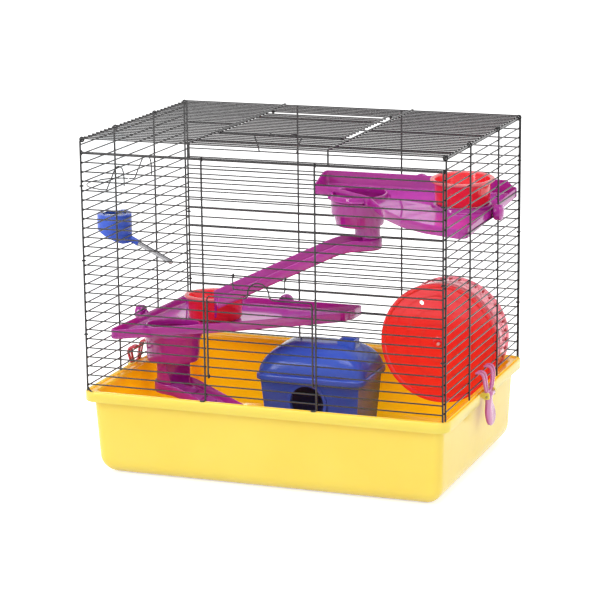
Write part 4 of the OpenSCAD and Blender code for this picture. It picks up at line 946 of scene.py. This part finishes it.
def wheel_disc():
    shape = Shape()
    rim = [(WHEEL_R - 6.2, 0.1), (WHEEL_R - 5.6, -0.6), (WHEEL_R - 4.9, -1.4), (WHEEL_R - 4, -1.6),
           (WHEEL_R - 1.4, -1.6), (WHEEL_R - 0.4, -1.3), (WHEEL_R, -0.5), (WHEEL_R, 3.2),
           (WHEEL_R - 0.4, 3.8), (WHEEL_R - 1, DISC_T)]
    lathe(shape, rim, 160, [1, 1, 1, 0, 1, 1, 0, 0, 0, 0])
    lathe(shape, [(9.4, 0.05), (8.9, -1.4), (8, -1.9), (5.4, -2), (5, -1.6), (2.1, -1.6)], 64)
    hole = circle(DISC_HOLE_R, 0, 32, DISC_HOLE)
    shape.fill([circle(WHEEL_R - 6.2, 0, 160), circle(9.4, 0, 64), hole], level(DISC_FACE), flip=True)
    shape.fill([circle(WHEEL_R - 1, 0, 160), circle(HUB_R, 0, 64), hole], level(DISC_T))
    shape.loft([circle(DISC_HOLE_R, z, 32, DISC_HOLE) for z in (DISC_FACE, DISC_T)])
    lathe(shape, [(HUB_R, DISC_T), (HUB_R, 13.6), (8.6, 14), (HUB_BORE_R, 14), (HUB_BORE_R, -1.6)], 64)
    for r in RING_RADII:
        lathe(shape, [(r - 0.9, 0.1), (r - 0.3, -0.06), (r + 0.3, -0.06), (r + 0.9, 0.1)], 144)
    piece = make("wheel_face", shape, [red, red_edge], wheel_place(), 35)
    register(piece, "wheel", "red_plastic", "wheel_disc")


def wheel_drum():
    shape = Shape()
    outer = [(DRUM_R - 2, DISC_T), (DRUM_R, 4.05)]
    for k in range(3):
        z = 6 + 5 * k
        outer += [(DRUM_R, z), (DRUM_R + 0.8, z + 0.2), (DRUM_R + 0.8, z + 1.2), (DRUM_R, z + 1.4)]
    outer += [(DRUM_R - 0.4, 30), (DRUM_R - 1.9, DRUM_W - 0.4), (DRUM_R - 0.4, DRUM_W + 0.4),
              (DRUM_R, DRUM_W + 1), (DRUM_R, DRUM_W + 3.4), (DRUM_R - 0.5, DRUM_W + 4),
              (DRUM_R - 3.5, DRUM_W + 4), (DRUM_R - 4, DRUM_W + 3.5), (DRUM_R - 3.9, DRUM_W - 1),
              (DRUM_R - 2, 5), (DRUM_R - 2, DISC_T)]
    lathe(shape, outer, 160, [1 if r > DRUM_R + 0.5 else 0 for r, _ in outer])
    piece = make("wheel_tunnel", shape, [red_clear, red_edge], wheel_place(), 38)
    register(piece, "wheel", "red_plastic", "wheel_drum")


def wheel_rungs():
    """Short dark rungs in the drum's open end"""
    shape = Shape()
    low, high = DRUM_R - 2.2, DRUM_R + 0.2
    for k in range(RUNGS):
        a = 2 * math.pi * k / RUNGS
        c, s = math.cos(a), math.sin(a)
        loops = []
        for z, size in ((47.2, 0.4), (47.8, 1), (54.8, 1), (55.4, 0.4)):
            half = RUNG_HALF * size
            corners = [(low, -half), (high, -half), (high, half), (low, half)]
            loops.append([(r * c - t * s, r * s + t * c, z) for r, t in corners])
        shape.solid(loops)
    piece = make("wheel_rungs", shape, [red_dark], wheel_place(), 35)
    register(piece, "wheel", "red_plastic")


# Clips

CLIP_OUTLINE = [(-13, 112), (-12.4, 104), (-12, 96), (-14.2, 91), (-17.6, 86), (-18.6, 80), (-17, 73.5),
                (-12.4, 68.6), (-6.4, 66.2), (0, 65.6)]
# Section of the tab: inset of its edge, and distance from its middle plane
CLIP_SECTION = [(1.0, -1.7), (0.2, -1.3), (0, -0.6), (0, 0.6), (0.2, 1.3), (1.0, 1.7)]
TAB_X, TAB_LEAN = 247.0, 3.8
LEAN_Z, LEAN_RUN = 98, 34
TAB_STEP = 4
WIRE_PITCH = 12
WIRE_HALF, BAND_HALF = 1.2, 1.7
BAND_W, BAND_T = 4.9, 3.1
CROSS_W = 10
FORK_Y = 19
PIVOT_X, PIVOT_Z = 248.2, 106


def clip_lean(z):
    """How far from the cage's middle the tab's middle plane is at a height"""
    return TAB_X + TAB_LEAN * smooth_step((LEAN_Z - z) / LEAN_RUN)


def band(shape, path, width, thick, side):
    """Rounded flat strip along a path; its width lies along Y"""
    w, t = width / 2, thick / 2
    section = [(w, -t / 2), (w, t / 2), (w / 2, t), (-w / 2, t), (-w, t / 2), (-w, -t / 2), (-w / 2, -t),
               (w / 2, -t)]
    loops = []
    for i, (x, y, z) in enumerate(path):
        ax, _, az = path[max(i - 1, 0)]
        bx, _, bz = path[min(i + 1, len(path) - 1)]
        span = math.hypot(bx - ax, bz - az)
        nx, nz = (az - bz) / span, (bx - ax) / span
        size = 0.5 if i in (0, len(path) - 1) else 1
        loops.append([(side * (x + nx * out * size), y + across * size, z + nz * out * size)
                      for across, out in section])
    shape.solid(loops)


def smooth_path(points, n):
    """Curve through given points, with n steps between each pair"""
    out = []
    for i in range(len(points) - 1):
        a, b, c, d = (Vector(points[max(0, min(len(points) - 1, i + k))]) for k in (-1, 0, 1, 2))
        for k in range(n):
            t = k / n
            out.append(tuple(0.5 * (2 * b + (c - a) * t + (2 * a - 5 * b + 4 * c - d) * t * t
                                    + (3 * b - a - 3 * c + d) * t ** 3)))
    out.append(tuple(points[-1]))
    return out


def clip(name, side, wire_z, material, slot, replaced):
    """Tab with a pivot, and two forks of two bands that hook over a side wire"""
    shape = Shape()
    outline = densify(CLIP_OUTLINE + [(-y, z) for y, z in CLIP_OUTLINE[-2::-1]], TAB_STEP)
    facing = inward(outline)
    shape.solid([[(side * (clip_lean(p[1]) + x), p[0] + n[0] * inset, p[1] + n[1] * inset)
                  for p, n in zip(outline, facing)] for inset, x in CLIP_SECTION])
    tip = wire_z + WIRE_HALF + BAND_HALF
    # Place outwards, middle of the fork, distance of its bands from the middle, and height
    fork = [(247.1, 7.5, 2.6, 104), (247.1, 9.5, 2.9, 110), (247.1, 13.5, 4, 117), (247.1, 17.3, 4.6, 125),
            (246.6, FORK_Y, 4.7, tip - 6), (244.8, FORK_Y, 4.7, tip - 1.6), (241.6, FORK_Y, 4.7, tip + 0.1),
            (238.2, FORK_Y, 4.7, tip), (236.2, FORK_Y, 4.7, tip - 0.9)]
    cross = [(240.5, tip + 0.05), (238.8, tip + 0.1), (237.4, tip - 0.3), (236.2, tip - 0.9)]
    for s in (-1, 1):
        for edge in (-1, 1):
            path = smooth_path([(x, s * (middle + edge * out), z) for x, middle, out, z in fork], 4)
            band(shape, path, BAND_W, BAND_T, side)
        band(shape, [(x, s * FORK_Y, z) for x, z in cross], CROSS_W, BAND_T, side)
    turns = [2 * math.pi * i / 32 for i in range(32)]
    shape.solid([[(side * (PIVOT_X + r * math.cos(a)), y, PIVOT_Z + r * math.sin(a)) for a in turns]
                 for r, y in ((3.7, -11.8), (4.1, -11.4), (4.1, 11.4), (3.7, 11.8))])
    piece = make(name, shape, [material], None, 45)
    register(piece, replaced, slot, replaced)


# Bent ends of the front posts

POST_X = 74.3
POST_END_D = 2
GROOVE_Y = -172.6


def post_ends():
    """Wire ends that curl over the tray's rim"""
    shape = Shape()
    paths = [[(x, -170.6, 117), (x, -171.6, 115.4), (x - 0.6, -173, 114.2), (x - 2.4, -173.8, 113.7),
              (x - 4.6, -174, 113.7), (x - 6.4, -174, 114.2)] for x in (-POST_X, POST_X)]
    paths.append([(-238, -170.8, 124), (-237.4, -171.2, 120), (-235, -172, 116), (-231.6, GROOVE_Y, 112.8),
                  (-228, GROOVE_Y, 111.4)])
    for path in paths:
        band(shape, smooth_path(path, 3), POST_END_D, POST_END_D, 1)
    piece = make("post_ends", shape, [wire], None, 45)
    register(piece, "cage", "wire")


# Knobs and axle cap

KNOB_T = 12
KNOB_BOLT_R, KNOB_BOLT_L = 3, 4.6


def knob(name, axis, replaced):
    """Domed round knob with a soft rim, on the outside of the grille"""
    shape = Shape()
    low, high = (Vector(corner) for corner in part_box(replaced))
    middle = (low + high) / 2
    for k in range(3):
        if axis[k]:
            middle[k] = high[k] if axis[k] > 0 else low[k]
    lathe(shape, [
        (0, 0), (4, -0.15), (6.8, -0.8), (7.6, -1.3), (8.2, -1.2), (9.2, -1.5), (9.9, -2.3), (10.2, -3.6),
        (10.2, -9.6), (9.6, -11.2), (8.6, -KNOB_T), (KNOB_BOLT_R, -KNOB_T),
        (KNOB_BOLT_R, -KNOB_T - KNOB_BOLT_L), (0, -KNOB_T - KNOB_BOLT_L)], 64)
    outwards = Vector(axis).to_track_quat("Z", "Y").to_matrix().to_4x4()
    piece = make(name, shape, [purple], Matrix.Translation(middle) @ outwards, 40)
    register(piece, "cage", "purple_plastic", replaced)


def axle_cap():
    shape = Shape()
    lathe(shape, [(0, -7.6), (1.2, -7.5), (1.9, -7), (2.2, -6.2), (2.3, -3), (1.85, -3), (1.85, -5.9),
                  (0, -5.95)], 48)
    piece = make("axle_end", shape, [pale], wheel_place(), 40)
    register(piece, "cage", "white_plastic", "wheel_axle_cap")


# The pieces in their places

UPPER_TUBE_SHIFT, UPPER_FUNNEL_DEPTH = (12, -4), 63
LOWER_TUBE_SHIFT, LOWER_FUNNEL_DEPTH = (5, -2), 78
UPPER_RAMP_TURN = 210
LOWER_SLOPE = 24
RIGHT_WIRE_Z, LEFT_WIRE_Z = 123.7, 120.3


def funnel_end(hole, shift, depth, floor_z, side_x, degrees):
    """Place of a ramp's head at a funnel's lower end under the tilted shelf"""
    lean = math.radians(degrees)
    y, z = hole[1] + shift[1], -SHELF_WALL - depth
    height = floor_z + y * math.sin(lean) + z * math.cos(lean)
    return side_x + hole[0] + shift[0], SHELF_Y + y - (height - floor_z) * math.tan(lean), height - HEAD_DROP


base_tray()
shelf("upper_deck", UPPER_OUTLINE, UPPER_RADII, upper_rim, UPPER_HOLE, UPPER_HOLE_R, UPPER_PLACE,
      "upper_shelf", UPPER_BOWL)
shelf("lower_deck", LOWER_OUTLINE, LOWER_RADII, level(SHELF_RIM), LOWER_HOLE, LOWER_HOLE_R, LOWER_PLACE,
      "lower_shelf")
lower_bell()
upper_end = funnel_end(UPPER_HOLE, UPPER_TUBE_SHIFT, UPPER_FUNNEL_DEPTH, UPPER_Z, SHELF_X, UPPER_TILT)
lower_end = funnel_end(LOWER_HOLE, LOWER_TUBE_SHIFT, LOWER_FUNNEL_DEPTH, LOWER_Z, -SHELF_X, LOWER_TILT)
lower_run = (lower_end[2] - HOUSE_FOOT_Z) / math.tan(math.radians(LOWER_SLOPE))
channel("upper_slide", half_w=23, height=15, back=19.2, head=35, run=170, slope=21.8,
        place=move(*upper_end) @ turn(UPPER_RAMP_TURN, "Z"), replaced="upper_ramp", rungs=12, leg=22)
channel("lower_slide", half_w=29, height=14, back=29, head=8, run=lower_run, slope=LOWER_SLOPE,
        place=move(*lower_end), replaced="lower_ramp", rungs=10)
bowl("upper_dish", "upper_bowl", UPPER_PLACE, UPPER_BOWL, UPPER_BOWL_LIFT, "upper_bowl")
bowl("lower_dish", "lower_bowl", LOWER_PLACE, LOWER_BOWL, LOWER_BOWL_LIFT, "lower_bowl")
house_roof()
wheel_disc()
wheel_drum()
wheel_rungs()
axle_cap()
post_ends()
knob("upper_side_dome", (1, 0, 0), "upper_side_knob")
knob("upper_back_dome", (0, 1, 0), "upper_back_knob")
knob("lower_side_dome", (-1, 0, 0), "lower_side_knob")
knob("lower_back_dome", (0, 1, 0), "lower_back_knob")
clip("right_clip_body", 1, RIGHT_WIRE_Z + WIRE_PITCH, pink, "pink_plastic", "right_clip")
# The left clip gets the clip's pink in painted shade
clip("left_clip_body", -1, LEFT_WIRE_Z + WIRE_PITCH, clip_pink_painted_shade, "crimson_plastic", "left_clip")


# Floor, world and lamps

FLOOR_HALF = 30
FLOOR_LIFT = 0.6
WORLD_LEVEL = 1.0
LAMP_AIM = Vector((0, 0, 0.2))


def any_ray(tree, kinds):
    """One for rays of any of these kinds, nought for the others"""
    path = add(tree, "ShaderNodeLightPath")
    seen = path.outputs[kinds[0]]
    for kind in kinds[1:]:
        either = add(tree, "ShaderNodeMath", operation="MAXIMUM")
        tree.links.new(seen, either.inputs[0])
        tree.links.new(path.outputs[kind], either.inputs[1])
        seen = either.outputs[0]
    return seen


def add_floor():
    mesh = bpy.data.meshes.new("floor")
    corners = [(-FLOOR_HALF, -FLOOR_HALF, 0), (FLOOR_HALF, -FLOOR_HALF, 0),
               (FLOOR_HALF, FLOOR_HALF, 0), (-FLOOR_HALF, FLOOR_HALF, 0)]
    mesh.from_pydata(corners, [], [(0, 1, 2, 3)])
    floor = bpy.data.objects.new("floor", mesh)
    bpy.context.scene.collection.objects.link(floor)
    material, tree, shader = new_material("floor_paper")
    roughen(tree, shader, noise(tree, scale=400.0, detail=2.0), 0.85, 1.0)
    put(shader, {"Base Color": (0.8, 0.8, 0.8, 1), "Emission Color": (1, 1, 1, 1)})
    lift = add(tree, "ShaderNodeMath", operation="MULTIPLY")
    lift.inputs[1].default_value = FLOOR_LIFT
    tree.links.new(any_ray(tree, ("Is Camera Ray", "Is Glossy Ray", "Is Transmission Ray")), lift.inputs[0])
    tree.links.new(lift.outputs[0], shader.inputs["Emission Strength"])
    mesh.materials.append(material)


def add_world():
    world = bpy.data.worlds.new("studio")
    bpy.context.scene.world = world
    world.use_nodes = True
    tree = world.node_tree
    background = tree.nodes["Background"]
    background.inputs["Color"].default_value = (1, 1, 1, 1)
    background.inputs["Strength"].default_value = WORLD_LEVEL


def add_lamp(name, place, size, power):
    data = bpy.data.lights.new(name, "AREA")
    data.shape = "RECTANGLE"
    data.size = size[0]
    data.size_y = size[1]
    data.energy = power
    lamp = bpy.data.objects.new(name, data)
    lamp.location = place
    lamp.rotation_euler = (LAMP_AIM - Vector(place)).to_track_quat("-Z", "Y").to_euler()
    bpy.context.scene.collection.objects.link(lamp)


add_floor()
add_world()
add_lamp("key", place=(-1.5, -2.4, 1.7), size=(0.5, 1.8), power=26)
add_lamp("top", place=(0.2, -0.5, 2.6), size=(1.8, 0.8), power=26)
add_lamp("fill", place=(2.6, -1.2, 1.2), size=(0.5, 1.8), power=4)

scene = bpy.context.scene
scene.view_settings.view_transform = "Standard"
